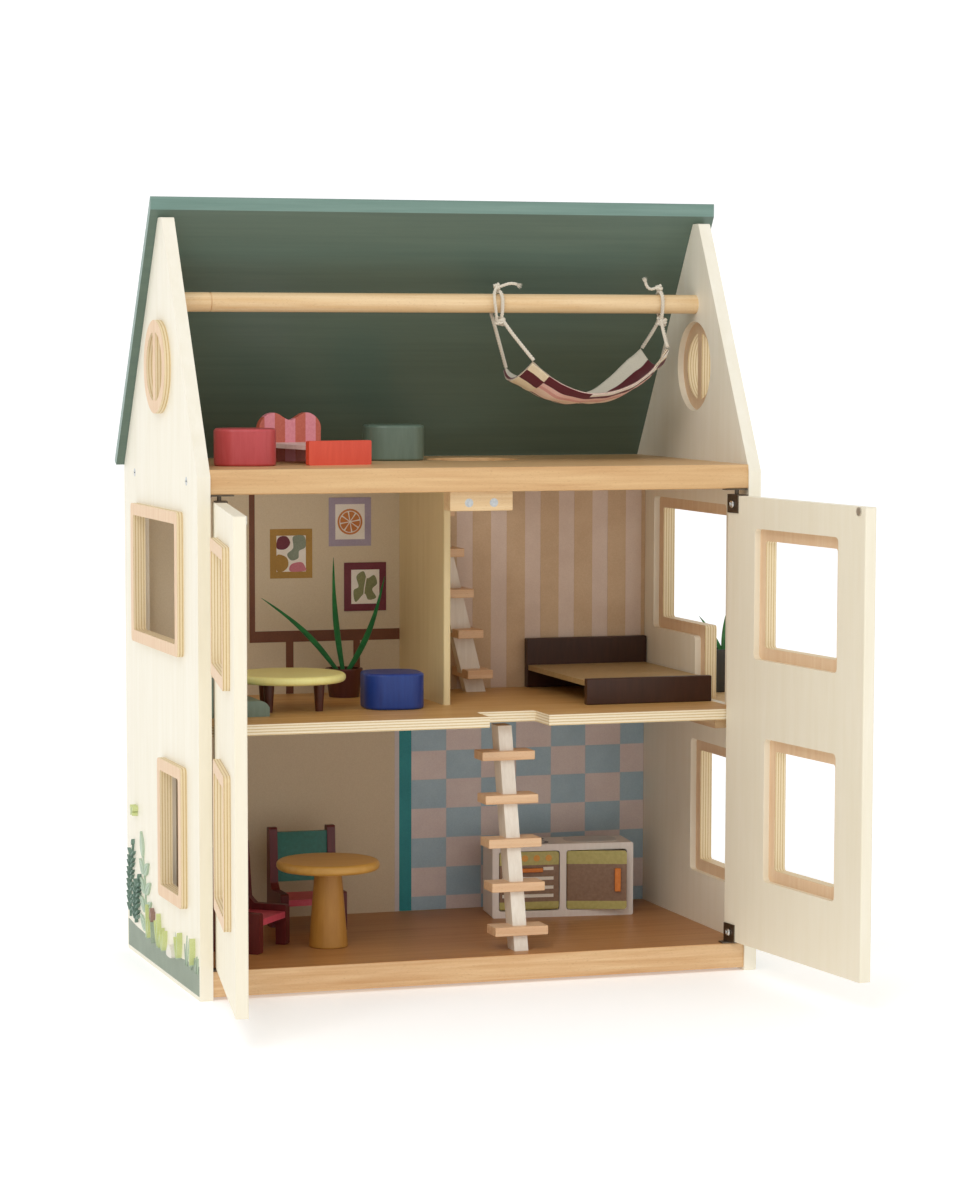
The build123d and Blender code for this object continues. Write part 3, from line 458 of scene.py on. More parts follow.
def ply_colour(mat, edge_dir, face_colour, pale="#e8d6b0", dark="#cdb07f"):
    """Face colour on the flats and thin dark and pale plies on the edges.

    edge_dir is the direction through the board; birch plies are 1.3 mm.
    """
    place = node(mat, "ShaderNodeTexCoord")
    at, normal = place.outputs["Object"], place.outputs["Normal"]
    facing = node(mat, "ShaderNodeVectorMath", {0: normal, 1: edge_dir}, operation="DOT_PRODUCT")
    facing = node(mat, "ShaderNodeMath", {0: facing.outputs["Value"]}, operation="ABSOLUTE")
    flat = node(mat, "ShaderNodeMapRange", {"Value": facing.outputs[0], "From Min": 0.70, "From Max": 0.86})
    deep = node(mat, "ShaderNodeVectorMath", {0: at, 1: edge_dir}, operation="DOT_PRODUCT")
    wander = node(mat, "ShaderNodeTexNoise", {"Vector": at, "Scale": 45.0, "Detail": 2.0})
    wander = node(mat, "ShaderNodeMath", {0: wander.outputs[0], 1: 0.00045, 2: -0.0002},
                  operation="MULTIPLY_ADD")
    deep = node(mat, "ShaderNodeMath", {0: deep.outputs["Value"], 1: wander.outputs[0]}, operation="ADD")
    turn = node(mat, "ShaderNodeMath", {0: deep.outputs[0], 1: 2 * math.pi / 0.0026}, operation="MULTIPLY")
    wave = node(mat, "ShaderNodeMath", {0: turn.outputs[0]}, operation="SINE")
    long_grain = node(mat, "ShaderNodeTexNoise", {"Vector": at, "Scale": 700.0, "Detail": 4.0})
    mixed = node(mat, "ShaderNodeMath", {0: long_grain.outputs[0], 1: 0.9, 2: wave.outputs[0]},
                 operation="MULTIPLY_ADD")
    ply = node(mat, "ShaderNodeMapRange", {"Value": mixed.outputs[0], "From Min": -0.5, "From Max": 1.5})
    edge = node(mat, "ShaderNodeValToRGB", {"Fac": ply.outputs[0]}, [(0.12, dark), (0.42, pale)])
    seen = node(mat, "ShaderNodeMix", {"Factor": flat.outputs[0], 6: edge.outputs[0], 7: face_colour},
                data_type="RGBA")
    rough = node(mat, "ShaderNodeMapRange", {"Value": flat.outputs[0], "To Min": 0.62, "To Max": 0.5})
    bump = node(mat, "ShaderNodeBump", {"Height": mixed.outputs[0], "Strength": 0.12, "Distance": 0.0002})
    return seen.outputs[2], rough.outputs[0], bump.outputs[0]


def brushed(mat, stretch, low, high, spread=(0.32, 0.68), detail=5.0):
    """A colour that wanders in long streaks, as brushed or rolled paint does."""
    where = node(mat, "ShaderNodeTexCoord").outputs["Object"]
    pull = node(mat, "ShaderNodeMapping", {"Vector": where, "Scale": stretch})
    streak = node(mat, "ShaderNodeTexNoise", {"Vector": pull.outputs[0], "Scale": 1.0, "Detail": detail,
                                              "Roughness": 0.6})
    tone = node(mat, "ShaderNodeValToRGB", {"Fac": streak.outputs[0]}, [(spread[0], low), (spread[1], high)])
    return tone.outputs[0], streak.outputs[0]


def cream_paint(name, low, high, rough=0.5):
    """Cream satin paint, sprayed over board and edges alike.

    It is nearly even, with a fine orange peel and a trace of grain.
    """
    mat = new_material(name)
    tone, streak = brushed(mat, (90.0, 90.0, 9.0), low, high)
    where = node(mat, "ShaderNodeTexCoord").outputs["Object"]
    peel = node(mat, "ShaderNodeTexNoise", {"Vector": where, "Scale": 900.0, "Detail": 3.0})
    height = node(mat, "ShaderNodeMath", {0: streak, 1: peel.outputs[0]}, operation="ADD")
    bump = node(mat, "ShaderNodeBump", {"Height": height.outputs[0], "Strength": 0.07, "Distance": 0.0003})
    return surface(mat, tone, bump.outputs[0], Roughness=rough, Coat_Weight=0.08, Coat_Roughness=0.35)


side_board = cream_paint("cream_satin_paint_on_birch_ply", "#f1ead6", "#f6f0df")
for name in ("side_panel_left", "side_panel_right"):
    finish(name, side_board)


# ------------------------------------------------------------- garden print
# A garden is printed in flat inks low on the outside of both side panels: a
# grey green bank with leaves, sprigs and grasses. The ink is a film on the
# paint, so each shape is a film proud of the board by a fraction of a mm.
def ink(name, low, high, grain=900.0, rough=0.55):
    """A printed ink: matt, a little uneven where it sank into the paint."""
    mat = new_material(name)
    where = node(mat, "ShaderNodeTexCoord").outputs["Object"]
    speck = node(mat, "ShaderNodeTexNoise", {"Vector": where, "Scale": grain, "Detail": 4.0})
    drift = node(mat, "ShaderNodeTexNoise", {"Vector": where, "Scale": 38.0, "Detail": 3.0})
    both = node(mat, "ShaderNodeMath", {0: speck.outputs[0], 1: drift.outputs[0]}, operation="ADD")
    half = node(mat, "ShaderNodeMath", {0: both.outputs[0], 1: 0.5}, operation="MULTIPLY")
    tone = node(mat, "ShaderNodeValToRGB", {"Fac": half.outputs[0]}, [(0.38, low), (0.62, high)])
    bump = node(mat, "ShaderNodeBump", {"Height": speck.outputs[0], "Strength": 0.06, "Distance": 0.0002})
    return surface(mat, tone.outputs[0], bump.outputs[0], Roughness=rough)


def closed_curve(points, steps=8):
    """A smooth closed outline through a few points."""
    n = len(points)
    out = []
    for i in range(n):
        p = [Vector((*points[(i + k) % n], 0)) for k in (-1, 0, 1, 2)]
        for s in range(steps):
            q = between(p, s / steps)
            out.append((q.x, q.y))
    return out


def ellipse(x, y, rx, ry, turn=0.0, steps=32):
    c, s = math.cos(turn), math.sin(turn)
    return [(x + rx * math.cos(a) * c - ry * math.sin(a) * s, y + rx * math.cos(a) * s + ry * math.sin(a) * c)
            for a in (2 * math.pi * k / steps for k in range(steps))]


def leaf(x, y, to_x, to_y, wide):
    """A pointed leaf from its stalk to its tip."""
    dx, dy = to_x - x, to_y - y
    long = math.hypot(dx, dy)
    ux, uy = dx / long, dy / long
    out = []
    for side in (1, -1):
        for k in range(9):
            f = k / 8 if side == 1 else 1 - k / 8
            w = side * wide * math.sin(math.pi * f ** 0.85) * 0.5
            if 0 < k < 8 or side == 1:
                out.append((x + dx * f - uy * w, y + dy * f + ux * w))
    return out


def stroke(points, wide):
    """A stem of even width along a line of points."""
    left, right = [], []
    for i, (x, y) in enumerate(points):
        ax, ay = points[max(0, i - 1)]
        bx, by = points[min(len(points) - 1, i + 1)]
        long = math.hypot(bx - ax, by - ay) or 1
        nx, ny = -(by - ay) / long * wide / 2, (bx - ax) / long * wide / 2
        left.append((x + nx, y + ny))
        right.append((x - nx, y - ny))
    return left + right[::-1]


def printed(name, shapes, place, body, film=0.00012, step=0.00005):
    """Films of ink on a flat face, later ones over earlier ones.

    shapes are (material, outline in mm), and place turns an outline's point
    and its height off the face into a place in metres.
    """
    mats, verts, faces, picks = [], [], [], []
    for k, (mat, outline) in enumerate(shapes):
        if mat not in mats:
            mats.append(mat)
        high = film + k * step
        base, n = len(verts), len(outline)
        area = sum(a[0] * b[1] - b[0] * a[1] for a, b in zip(outline, outline[1:] + outline[:1]))
        if area < 0:
            outline = outline[::-1]
        for h in (high, 0.0):
            verts += [place(x, y, h) for x, y in outline]
        faces.append(tuple(base + i for i in range(n)))
        faces += [(base + i, base + n + i, base + n + (i + 1) % n, base + (i + 1) % n) for i in range(n)]
        picks += [mats.index(mat)] * (n + 1)
    o = piece(name, verts, faces, mats, body, smooth=False, face_mats=picks)
    return o


bank_ink = ink("grey_green_print_on_paint", "#84907f", "#939f8d")
soft_leaf_ink = ink("soft_green_print", "#a9bfa5", "#bccdb6")
dark_leaf_ink = ink("deep_green_print", "#5d7a6c", "#7a9486")
lime_ink = ink("yellow_green_print", "#c5d08a", "#d2da9e")
bud_ink = ink("brown_bud_print", "#8d6f62", "#a3857a")
stone_ink = ink("pale_stone_print", "#e2ddd0", "#ece7db")
grass_ink = ink("grey_grass_print", "#8fa08c", "#a3b29f")


def garden(name, x, out, seed, full):
    """out is -1 or 1, the side of the house that the face looks to."""
    rng = random.Random(seed)
    shapes = []
    top = [(141.5, 30), (110, 27.5), (85, 26.6), (59.6, 25.6), (25, 26.3), (-7.1, 25.6), (-28, 24.0),
           (-48.1, 24.4), (-74, 27.4), (-99.8, 29.2), (-124, 29.6), (-146.5, 31.6)]
    fine = []
    for i in range(len(top) - 1):
        p = [Vector((*top[max(0, min(len(top) - 1, i + k))], 0)) for k in (-1, 0, 1, 2)]
        for s in range(6):
            q = between(p, s / 6)
            fine.append((q.x, q.y))
    band = fine + [top[-1], (-146.5, 4.0), (146.5, 4.0), (146.5, 30)]
    shapes.append((bank_ink, band))
    for y0 in (-55, -98, -117, -138) if full else (120, 96, 40, -20, -88, -131):
        high = rng.uniform(17, 30)
        for k in range(6):
            lean = rng.uniform(-9, 9)
            long = high * rng.uniform(0.6, 1.0)
            base = y0 + rng.uniform(-4, 4)
            grass = leaf(base, 24, base + lean, 24 + long, 1.9)
            shapes.append((grass_ink if k % 2 else soft_leaf_ink, grass))
    if full:
        stem = [(66, 24), (66, 50), (70, 78), (79, 104), (83, 121)]
        shapes.append((soft_leaf_ink, stroke(stem, 2.2)))
        for x0, y0, size in ((66, 30, 25), (66, 48, 24), (67, 66, 22), (71, 84, 19)):
            for side in (-1, 1):
                tip = (x0 + side * size, y0 + 13)
                shapes.append((soft_leaf_ink, leaf(x0, y0, tip[0], tip[1], 10.5)))
                vein = [(x0 + side * 3, y0 + 1.6), (x0 + side * size * 0.8, y0 + 10.4)]
                shapes.append((bank_ink, stroke(vein, 0.7)))
        shapes.append((soft_leaf_ink, leaf(76, 100, 84, 124, 11)))
        for start, end, n in (((119, 106), (132, 34), 10), ((90, 76), (105, 32), 7)):
            line = [(end[0] + (start[0] - end[0]) * f + 5 * math.sin(math.pi * f),
                     end[1] + (start[1] - end[1]) * f) for f in (k / 12 for k in range(13))]
            shapes.append((dark_leaf_ink, stroke(line, 0.6)))
            for k in range(n):
                px, py = line[1 + int(k * 11 / n)]
                py += k % 2
                for side in (-1, 1):
                    shapes.append((dark_leaf_ink, leaf(px + side * 2.0, py, px + side * 13.0, py + 6.0, 2.0)))
            px, py = line[-1]
            shapes.append((dark_leaf_ink, leaf(px, py, px - 2, py + 6, 2.6)))
        shapes.append((grass_ink, stroke([(31, 24), (32, 36), (34, 46)], 1.2)))
        shapes.append((bud_ink, leaf(33, 44, 36, 57, 7.5)))
        shapes.append((bud_ink, leaf(34, 44, 30, 54, 4.5)))
        for a, b in (((4, 24), (8, 56)), ((2, 24), (-9, 45)), ((6, 24), (18, 48)), ((-15, 24), (-20, 44)),
                     ((-13, 24), (-6, 41)), ((48, 26), (52, 58)), ((46, 26), (38, 50)),
                     ((-76, 27), (-80, 52)), ((-74, 27), (-66, 46)), ((-128, 29), (-131, 55))):
            shapes.append((lime_ink, leaf(*a, *b, 3.6)))
            most = ((a[0] + b[0] * 3) / 4, (a[1] + b[1] * 3) / 4)
            shapes.append((soft_leaf_ink, stroke([a, most], 0.7)))
        shapes.append((stone_ink, closed_curve([(-58, 25), (-55, 33), (-47, 36), (-40, 32), (-38, 25)])))
        for side in (-1, 1):
            for wing in ([(0, 142), (4, 146.5), (6.5, 144), (4.5, 140.5)],
                         [(0, 141.5), (4, 139.5), (4.5, 136.5), (1.5, 137.5)]):
                shapes.append((lime_ink, closed_curve([(107 + side * y, z) for y, z in wing])))
        shapes.append((dark_leaf_ink, stroke([(107, 138), (107, 144)], 0.8)))
    printed(name, shapes, lambda y, z, h: (x + out * h, y / 1000, z / 1000),
            "house")


garden("garden_print_left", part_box("side_panel_left")[0][0], -1, 5, True)
garden("garden_print_right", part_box("side_panel_right")[1][0], 1, 6, False)

# ------------------------------------------------------------------- floors
# The ground and attic floors are solid beech boards of about 22 mm with a satin
# lacquer, and the middle floor is 10 mm birch ply veneered in beech.
def beech(name, grain_axis, low, high, fleck="#a9764a", rough=0.42, painted_top_shade=None):
    """Beech: fine even grain, with the short dark ray flecks that mark it."""
    mat = new_material(name)
    where = node(mat, "ShaderNodeTexCoord").outputs["Object"]
    # rings a few mm apart, drawn out along the grain
    long = [170.0, 170.0, 170.0]
    long[grain_axis] = 6.0
    pull = node(mat, "ShaderNodeMapping", {"Vector": where, "Scale": tuple(long)})
    ring = node(mat, "ShaderNodeTexNoise", {"Vector": pull.outputs[0], "Scale": 1.0, "Detail": 6.0,
                                            "Roughness": 0.62, "Distortion": 0.35})
    tone = node(mat, "ShaderNodeValToRGB", {"Fac": ring.outputs[0]}, [(0.33, low), (0.66, high)])
    # flecks 1.5 to 3 mm long and a quarter of a mm wide
    short = [3200.0, 3200.0, 3200.0]
    short[grain_axis] = 330.0
    dash = node(mat, "ShaderNodeMapping", {"Vector": where, "Scale": tuple(short)})
    ray = node(mat, "ShaderNodeTexNoise", {"Vector": dash.outputs[0], "Scale": 1.0, "Detail": 1.5})
    cut = node(mat, "ShaderNodeMapRange", {"Value": ray.outputs[0], "From Min": 0.63, "From Max": 0.72,
                                           "To Max": 0.42})
    seen = node(mat, "ShaderNodeMix", {"Factor": cut.outputs[0], 6: tone.outputs[0], 7: fleck},
                data_type="RGBA")
    bump = node(mat, "ShaderNodeBump", {"Height": ray.outputs[0], "Strength": 0.08, "Distance": 0.0002})
    colour = seen.outputs[2]
    # faces that look up can be multiplied by a tan colour: painted shade that darkens the top against the lit
    # edges
    if painted_top_shade:
        up = node(mat, "ShaderNodeTexCoord").outputs["Normal"]
        up = node(mat, "ShaderNodeSeparateXYZ", {0: up})
        on_top = node(mat, "ShaderNodeMapRange", {"Value": up.outputs["Z"], "From Min": 0.6, "From Max": 0.9})
        colour = node(mat, "ShaderNodeMix", {"Factor": on_top.outputs[0], 6: colour, 7: painted_top_shade},
                      data_type="RGBA", blend_type="MULTIPLY").outputs[2]
    return surface(mat, colour, bump.outputs[0], Roughness=rough, Coat_Weight=0.12, Coat_Roughness=0.3)


# the ground floor's top is darkened by painted shade
floor_beech = beech("lacquered_beech_floor", 0, "#d0a06c", "#e6c394", painted_top_shade="#d2b48e")
finish("ground_floor", floor_beech)
attic_beech = beech("lacquered_beech_attic_floor", 0, "#cd9f6b", "#dfb985")
finish("attic_floor", attic_beech)
batten_beech = beech("plain_beech_battens", 1, "#d6b384", "#ead0a5")
finish("floor_battens", batten_beech)

middle_ply = new_material("beech_faced_birch_ply_floor")
tone, streak = brushed(middle_ply, (9.0, 260.0, 260.0), "#c3924f", "#d9b173", (0.35, 0.65), 6.0)
colour, rough, bump = ply_colour(middle_ply, (0, 0, 1), tone, pale="#f1e3c6", dark="#d3b888")
surface(middle_ply, colour, bump, Roughness=rough, Coat_Weight=0.12, Coat_Roughness=0.3)
finish("middle_floor", middle_ply)

# the divider has the same cream paint as the shell, drawn darker and warmer: painted shade and warm bounce
# light inside the house
divider_cream_darkened_as_shade = cream_paint("cream_paint_darkened_as_painted_shade_on_divider", "#e3cf9c", "#ebd8a9")
finish("room_divider", divider_cream_darkened_as_shade)

# --------------------------------------------------------------- back panel
# A 6 mm board in grooves at the back of every room. Its paper print makes the
# wallpapers: pale upstairs left with brown framing and three pictures, tan
# stripes upstairs right, and tiles in the kitchen below.
wall_paper = new_material("pale_pink_paper_on_hardboard")
where = node(wall_paper, "ShaderNodeTexCoord").outputs["Object"]
felt = node(wall_paper, "ShaderNodeTexNoise", {"Vector": where, "Scale": 850.0, "Detail": 5.0})
tone = node(wall_paper, "ShaderNodeValToRGB", {"Fac": felt.outputs[0]}, [(0.3, "#d8c8ab"), (0.7, "#e0d1b6")])
bump = node(wall_paper, "ShaderNodeBump", {"Height": felt.outputs[0], "Strength": 0.08, "Distance": 0.0002})
surface(wall_paper, tone.outputs[0], bump.outputs[0], Roughness=0.8)
finish("back_panel", wall_paper)


def block(x0, x1, y0, y1):
    return [(x0, y0), (x1, y0), (x1, y1), (x0, y1)]


wall_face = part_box("back_panel")[0][1]


def on_wall(x, z, h):
    """A place in metres, h in front of the back panel."""
    return x / 1000, wall_face - h, z / 1000


brown_ink = ink("umber_bar_print", "#6e3d22", "#7d4a2c")
mauve_ink = ink("dusty_mauve_print", "#9a7180", "#ab8391")
ochre_ink = ink("ochre_print", "#a9802e", "#b98f3c")
lilac_ink = ink("lilac_grey_print", "#a598ad", "#b3a7bb")
maroon_ink = ink("maroon_print", "#6a1f30", "#7a2c3c")
paper_ink = ink("warm_white_print", "#f2ebdf", "#faf5ec")
orange_ink = ink("orange_print", "#c97531", "#d68944")
olive_ink = ink("olive_print", "#7d8255", "#959a6b")
rose_ink = ink("rose_print", "#c9707f", "#d58491")
moss_ink = ink("grey_green_blob_print", "#808c78", "#949e8a")


def framed(frame_ink, x0, x1, z0, z1, wide=6.5):
    """A picture frame and the paper in it."""
    return [(frame_ink, block(x0, x1, z0, z1)),
            (paper_ink, block(x0 + wide, x1 - wide, z0 + wide, z1 - wide))]


shapes = [(brown_ink, block(-153.2, -147.5, 310, 455.8)), (brown_ink, block(-153.2, -0.6, 299, 310)),
          (brown_ink, block(-116.6, -109, 248.2, 299)), (brown_ink, block(-48, -41.3, 248.2, 299))]
shapes += framed(ochre_ink, -132.3, -89.7, 361.4, 409.6)
shapes += [(maroon_ink, closed_curve([(-125.5, 391), (-124, 401), (-116, 402.5), (-112, 396), (-117, 390)])),
           (moss_ink, closed_curve([(-109, 402), (-98, 402.5), (-96.5, 392), (-103, 388), (-104, 381),
                                    (-111, 379), (-115, 385), (-109, 391)])),
           (ochre_ink, closed_curve([(-125.5, 384), (-116, 382), (-114, 374), (-119, 368.5), (-125.5, 369)])),
           (rose_ink, closed_curve([(-111, 375), (-101, 377), (-96.8, 372), (-97, 368.5), (-112, 368.2)]))]
shapes += framed(lilac_ink, -72.8, -29.9, 392, 439.6)
shapes += [(orange_ink, ellipse(-51.4, 415.8, 12.7, 12.7)), (paper_ink, ellipse(-51.4, 415.8, 10.8, 10.8))]
for k in range(8):
    a = math.pi / 4 * k + 0.2
    wedge = [(-51.4 + r * math.cos(a + w), 415.8 + r * math.sin(a + w))
             for r, w in ((1.2, 0.36), (6.0, 0.06), (9.9, 0.05), (10.2, 0.36), (9.9, 0.68), (6.0, 0.66))]
    shapes.append((orange_ink, wedge))
shapes += framed(maroon_ink, -57.4, -14.7, 328, 375.6, 7.0)
shapes += [(olive_ink, closed_curve([(-46, 337), (-48, 348), (-43, 352), (-45, 362), (-38, 367),
                                     (-34, 360), (-27, 363), (-24, 355), (-29, 349), (-25, 341),
                                     (-33, 339), (-37, 345)])),
           (paper_ink, stroke([(-38, 340), (-37, 350), (-35, 361)], 1.0))]
shapes += [(mauve_ink, closed_curve([(-257, 455), (-257, 436), (-246, 430), (-234, 437), (-222, 431),
                                     (-210, 438), (-200, 433), (-192, 440), (-190, 455)], 5))]
printed("pictures_and_bars", shapes, on_wall, "house")

stripe_ink = ink("tan_stripe_print", "#c9aa86", "#d3b693")
blush_ink = ink("lilac_pink_stripe_print", "#d6bfae", "#dfcab9")
shapes = [(blush_ink, block(6.8, 257.8, 248.2, 455.8))]
for k in range(-1, 6):
    x0 = 75.2 + (k - 1) * 35.65
    x1 = x0 + 19.2
    if x1 > 6.8 and x0 < 257.8:
        shapes.append((stripe_ink, block(max(6.8, x0), min(257.8, x1), 248.2, 455.8)))
shapes.append((stripe_ink, block(253.8, 257.8, 248.2, 455.8)))
printed("striped_wallpaper", shapes, on_wall, "house")

kitchen_pink_ink = ink("pinkish_beige_tile_print", "#dccdcc", "#e6d9d6", rough=0.4)
kitchen_blue_ink = ink("pale_blue_tile_print", "#a3bfd0", "#b0cbda", rough=0.4)
grout_ink = ink("pale_grey_grout_print", "#d3cdcf", "#dcd6d7")
teal_ink = ink("teal_stripe_print", "#1f8d96", "#2b9ba3")
shapes = [(grout_ink, block(-5.6, 257.8, 27.2, 237.8)), (teal_ink, block(-1.0, 11.6, 27.2, 237.8))]
x_lines = [11.6, 47.9, 84.5, 121.3, 158.3, 194.9, 232.4, 257.8]
z_lines = [27.2, 40.9, 69.8, 99.5, 129.1, 158.1, 186.8, 216, 237.8]
joint = 0.15
for i in range(len(x_lines) - 1):
    for j in range(len(z_lines) - 1):
        pick = kitchen_blue_ink if (i + (len(z_lines) - j)) % 2 else kitchen_pink_ink
        shapes.append((pick, block(x_lines[i] + joint, x_lines[i + 1] - joint,
                                   z_lines[j] + joint, z_lines[j + 1] - joint)))
printed("kitchen_tiles", shapes[:2], on_wall, "house")
printed("kitchen_tile_faces", shapes[2:], lambda x, z, h: on_wall(x, z, h + 0.0002), "house",
        step=0.0)

# --------------------------------------------------------------------- roof
# One 7.5 mm ply board over the back half, painted sage green by brush along its length; underneath, the same
# green is darkened as painted shade.
sage_paint = new_material("brushed_sage_paint_on_ply")
where = node(sage_paint, "ShaderNodeTexCoord")
pull = node(sage_paint, "ShaderNodeMapping", {"Vector": where.outputs["Object"],
                                              "Scale": (5.0, 150.0, 150.0)})
streak = node(sage_paint, "ShaderNodeTexNoise", {"Vector": pull.outputs[0], "Scale": 1.0, "Detail": 6.0,
                                                 "Roughness": 0.65})
outside = node(sage_paint, "ShaderNodeValToRGB", {"Fac": streak.outputs[0]},
               [(0.3, "#66857a"), (0.7, "#7b978c")])
# the darker green on faces that look down is painted shade under the roof, not a second paint
painted_shade_green_underside = node(sage_paint, "ShaderNodeValToRGB", {"Fac": streak.outputs[0]},
             [(0.3, "#566a5e"), (0.7, "#5f7365")])
heading = node(sage_paint, "ShaderNodeSeparateXYZ", {0: where.outputs["Normal"]})
faces_down_for_painted_shade = node(sage_paint, "ShaderNodeMapRange", {"Value": heading.outputs["Z"], "From Min": -0.2,
                                                "From Max": -0.5})
seen = node(sage_paint, "ShaderNodeMix", {"Factor": faces_down_for_painted_shade.outputs[0], 6: outside.outputs[0],
                                          7: painted_shade_green_underside.outputs[0]}, data_type="RGBA")
bump = node(sage_paint, "ShaderNodeBump", {"Height": streak.outputs[0], "Strength": 0.12, "Distance": 0.0003})
surface(sage_paint, seen.outputs[2], bump.outputs[0], Roughness=0.36, Coat_Weight=0.2, Coat_Roughness=0.25)
finish("roof_panel", sage_paint)

# ------------------------------------------------------- rod and fasteners
# An 18 mm beech dowel sits in blind holes in both side panels. Zinc plated
# screws hold the floors, and the doors turn on pins in steel plates.
rod_beech = beech("clear_varnished_beech_dowel", 0, "#dfb984", "#f0d3a6")
finish("hanging_rod", rod_beech)


def plated(name, low, high, rough):
    """Plated steel: bright, with fine scratches left by tumbling."""
    mat = new_material(name)
    where = node(mat, "ShaderNodeTexCoord").outputs["Object"]
    cloud = node(mat, "ShaderNodeTexNoise", {"Vector": where, "Scale": 420.0, "Detail": 5.0})
    tone = node(mat, "ShaderNodeValToRGB", {"Fac": cloud.outputs[0]}, [(0.3, low), (0.7, high)])
    scratch = node(mat, "ShaderNodeMapping", {"Vector": where, "Scale": (900.0, 300.0, 5200.0)})
    fine = node(mat, "ShaderNodeTexNoise", {"Vector": scratch.outputs[0], "Scale": 1.0})
    wear = node(mat, "ShaderNodeMapRange", {"Value": cloud.outputs[0], "To Min": rough - 0.08,
                                            "To Max": rough + 0.12})
    bump = node(mat, "ShaderNodeBump", {"Height": fine.outputs[0], "Strength": 0.08, "Distance": 0.0001})
    return surface(mat, tone.outputs[0], bump.outputs[0], Metallic=1.0, Roughness=wear.outputs[0])


zinc = plated("zinc_plated_steel", "#b9bcbd", "#d5d7d6", 0.32)
bronze = plated("dark_bronzed_steel_and_nickel_strikes", "#5b5248", "#776b5c", 0.42)
shader = next(n for n in bronze.node_tree.nodes if n.type == "BSDF_PRINCIPLED")
brown = shader.inputs["Base Color"].links[0].from_socket
spot = node(bronze, "ShaderNodeSeparateXYZ", {0: node(bronze, "ShaderNodeTexCoord").outputs["Object"]})
out_there = node(bronze, "ShaderNodeMath", {0: spot.outputs["Y"], 1: -0.3}, operation="LESS_THAN")
both = node(bronze, "ShaderNodeMix", {"Factor": out_there.outputs[0], 6: brown, 7: "#cfcbc2"},
            data_type="RGBA")
bronze.node_tree.links.new(both.outputs[2], shader.inputs["Base Color"])
finish("assembly_screws", zinc)
finish("pivot_plates", bronze)
finish("catch_magnets", zinc)
finish("door_left_hardware", bronze)
finish("door_right_hardware", bronze)
block_beech = beech("beech_magnet_block", 0, "#dcb785", "#ecd0a2")
finish("magnet_block", block_beech)

# pan head screws with a cross slot hold each door's two steel plates
bright = plated("bright_nickel_plated_screws", "#c9cbca", "#e4e4e1", 0.22)


def pan_screw(name, at, out, body, head):
    """A domed head with a cross slot, on a face whose normal is out."""
    verts, faces, sides = [], [], 40
    out = Vector(out).normalized()
    u = out.orthogonal().normalized()
    v = out.cross(u)
    rings = ((1.0, 0.0), (1.0, 0.0006), (0.94, 0.00115), (0.75, 0.0016), (0.5, 0.0019), (0.26, 0.002),
             (0.0, 0.002))
    for r, h in rings:
        for j in range(sides):
            a = 2 * math.pi * j / sides
            cross = min(abs(math.cos(a)), abs(math.sin(a))) * r < 0.15 and 0 < r < 0.6
            low = 0.0009 if cross or r == 0 else 0.0
            verts.append(Vector(at) + (u * math.cos(a) + v * math.sin(a)) * r * head / 2 + out * (h - low))
    for i in range(len(rings) - 1):
        for j in range(sides):
            a, b = i * sides + j, i * sides + (j + 1) % sides
            faces.append((a, b, b + sides, a + sides))
    faces.append(tuple(reversed(range(sides))))
    o = piece(name, verts, faces, [bright], body, smooth=False)


for z, level in ((0.0376, "low"), (0.4417, "high")):
    pan_screw("right_door_screw_" + level, (0.2419, -0.14867, z), (-0.9945, -0.1045, 0), "right_door", 0.0072)
    pan_screw("left_door_screw_" + level, (-0.2422, -0.14935, z), (0.9848, -0.1736, 0), "left_door", 0.0072)

# ------------------------------------------------------------ window frames
# Each window is a frame cut from 12 mm birch ply with its cross bars in one
# piece, lacquered clear and pressed into its hole. There is no glass.
def frame_ply(name, through):
    """Clear lacquered birch ply: pinkish pale faces and stripy edges."""
    mat = new_material(name)
    tone, streak = brushed(mat, (200.0, 200.0, 16.0), "#e3bf98", "#ebcdaa")
    colour, rough, bump = ply_colour(mat, through, tone)
    return surface(mat, colour, bump, Roughness=rough, Coat_Weight=0.1, Coat_Roughness=0.3)


side_frame_ply = frame_ply("lacquered_ply_side_window_frames", (1, 0, 0))
for name in ("window_left_upper", "windows_lower", "windows_round", "window_balcony_door"):
    finish(name, side_frame_ply)

# -------------------------------------------------------------------- doors
# Two 11 mm ply doors hang on pins and swing outward. They are painted cream all
# over and each has two windows with frames of clear lacquered ply.
left_through = (-0.9848, 0.1736, 0.0)
right_through = (0.9945, 0.1045, 0.0)
door_cream = cream_paint("cream_satin_paint_on_doors", "#f0e7cf", "#f4ecd7")
for side, through in (("left", left_through), ("right", right_through)):
    finish("door_" + side, door_cream)
    framing = frame_ply("lacquered_ply_" + side + "_door_frames", through)
    for name in ("_window_upper", "_window_lower"):
        finish("door_" + side + name, framing)

# ------------------------------------------------------------------ balcony
# A small beech faced deck on the right side, with a low railing of one 8 mm
# ply board along its outer edge. The railing is painted cream like the house.
balcony_floor = beech("beech_faced_balcony_deck", 1, "#d6b17c", "#e7c898")
finish("balcony_deck", balcony_floor)
finish("balcony_railing", door_cream)


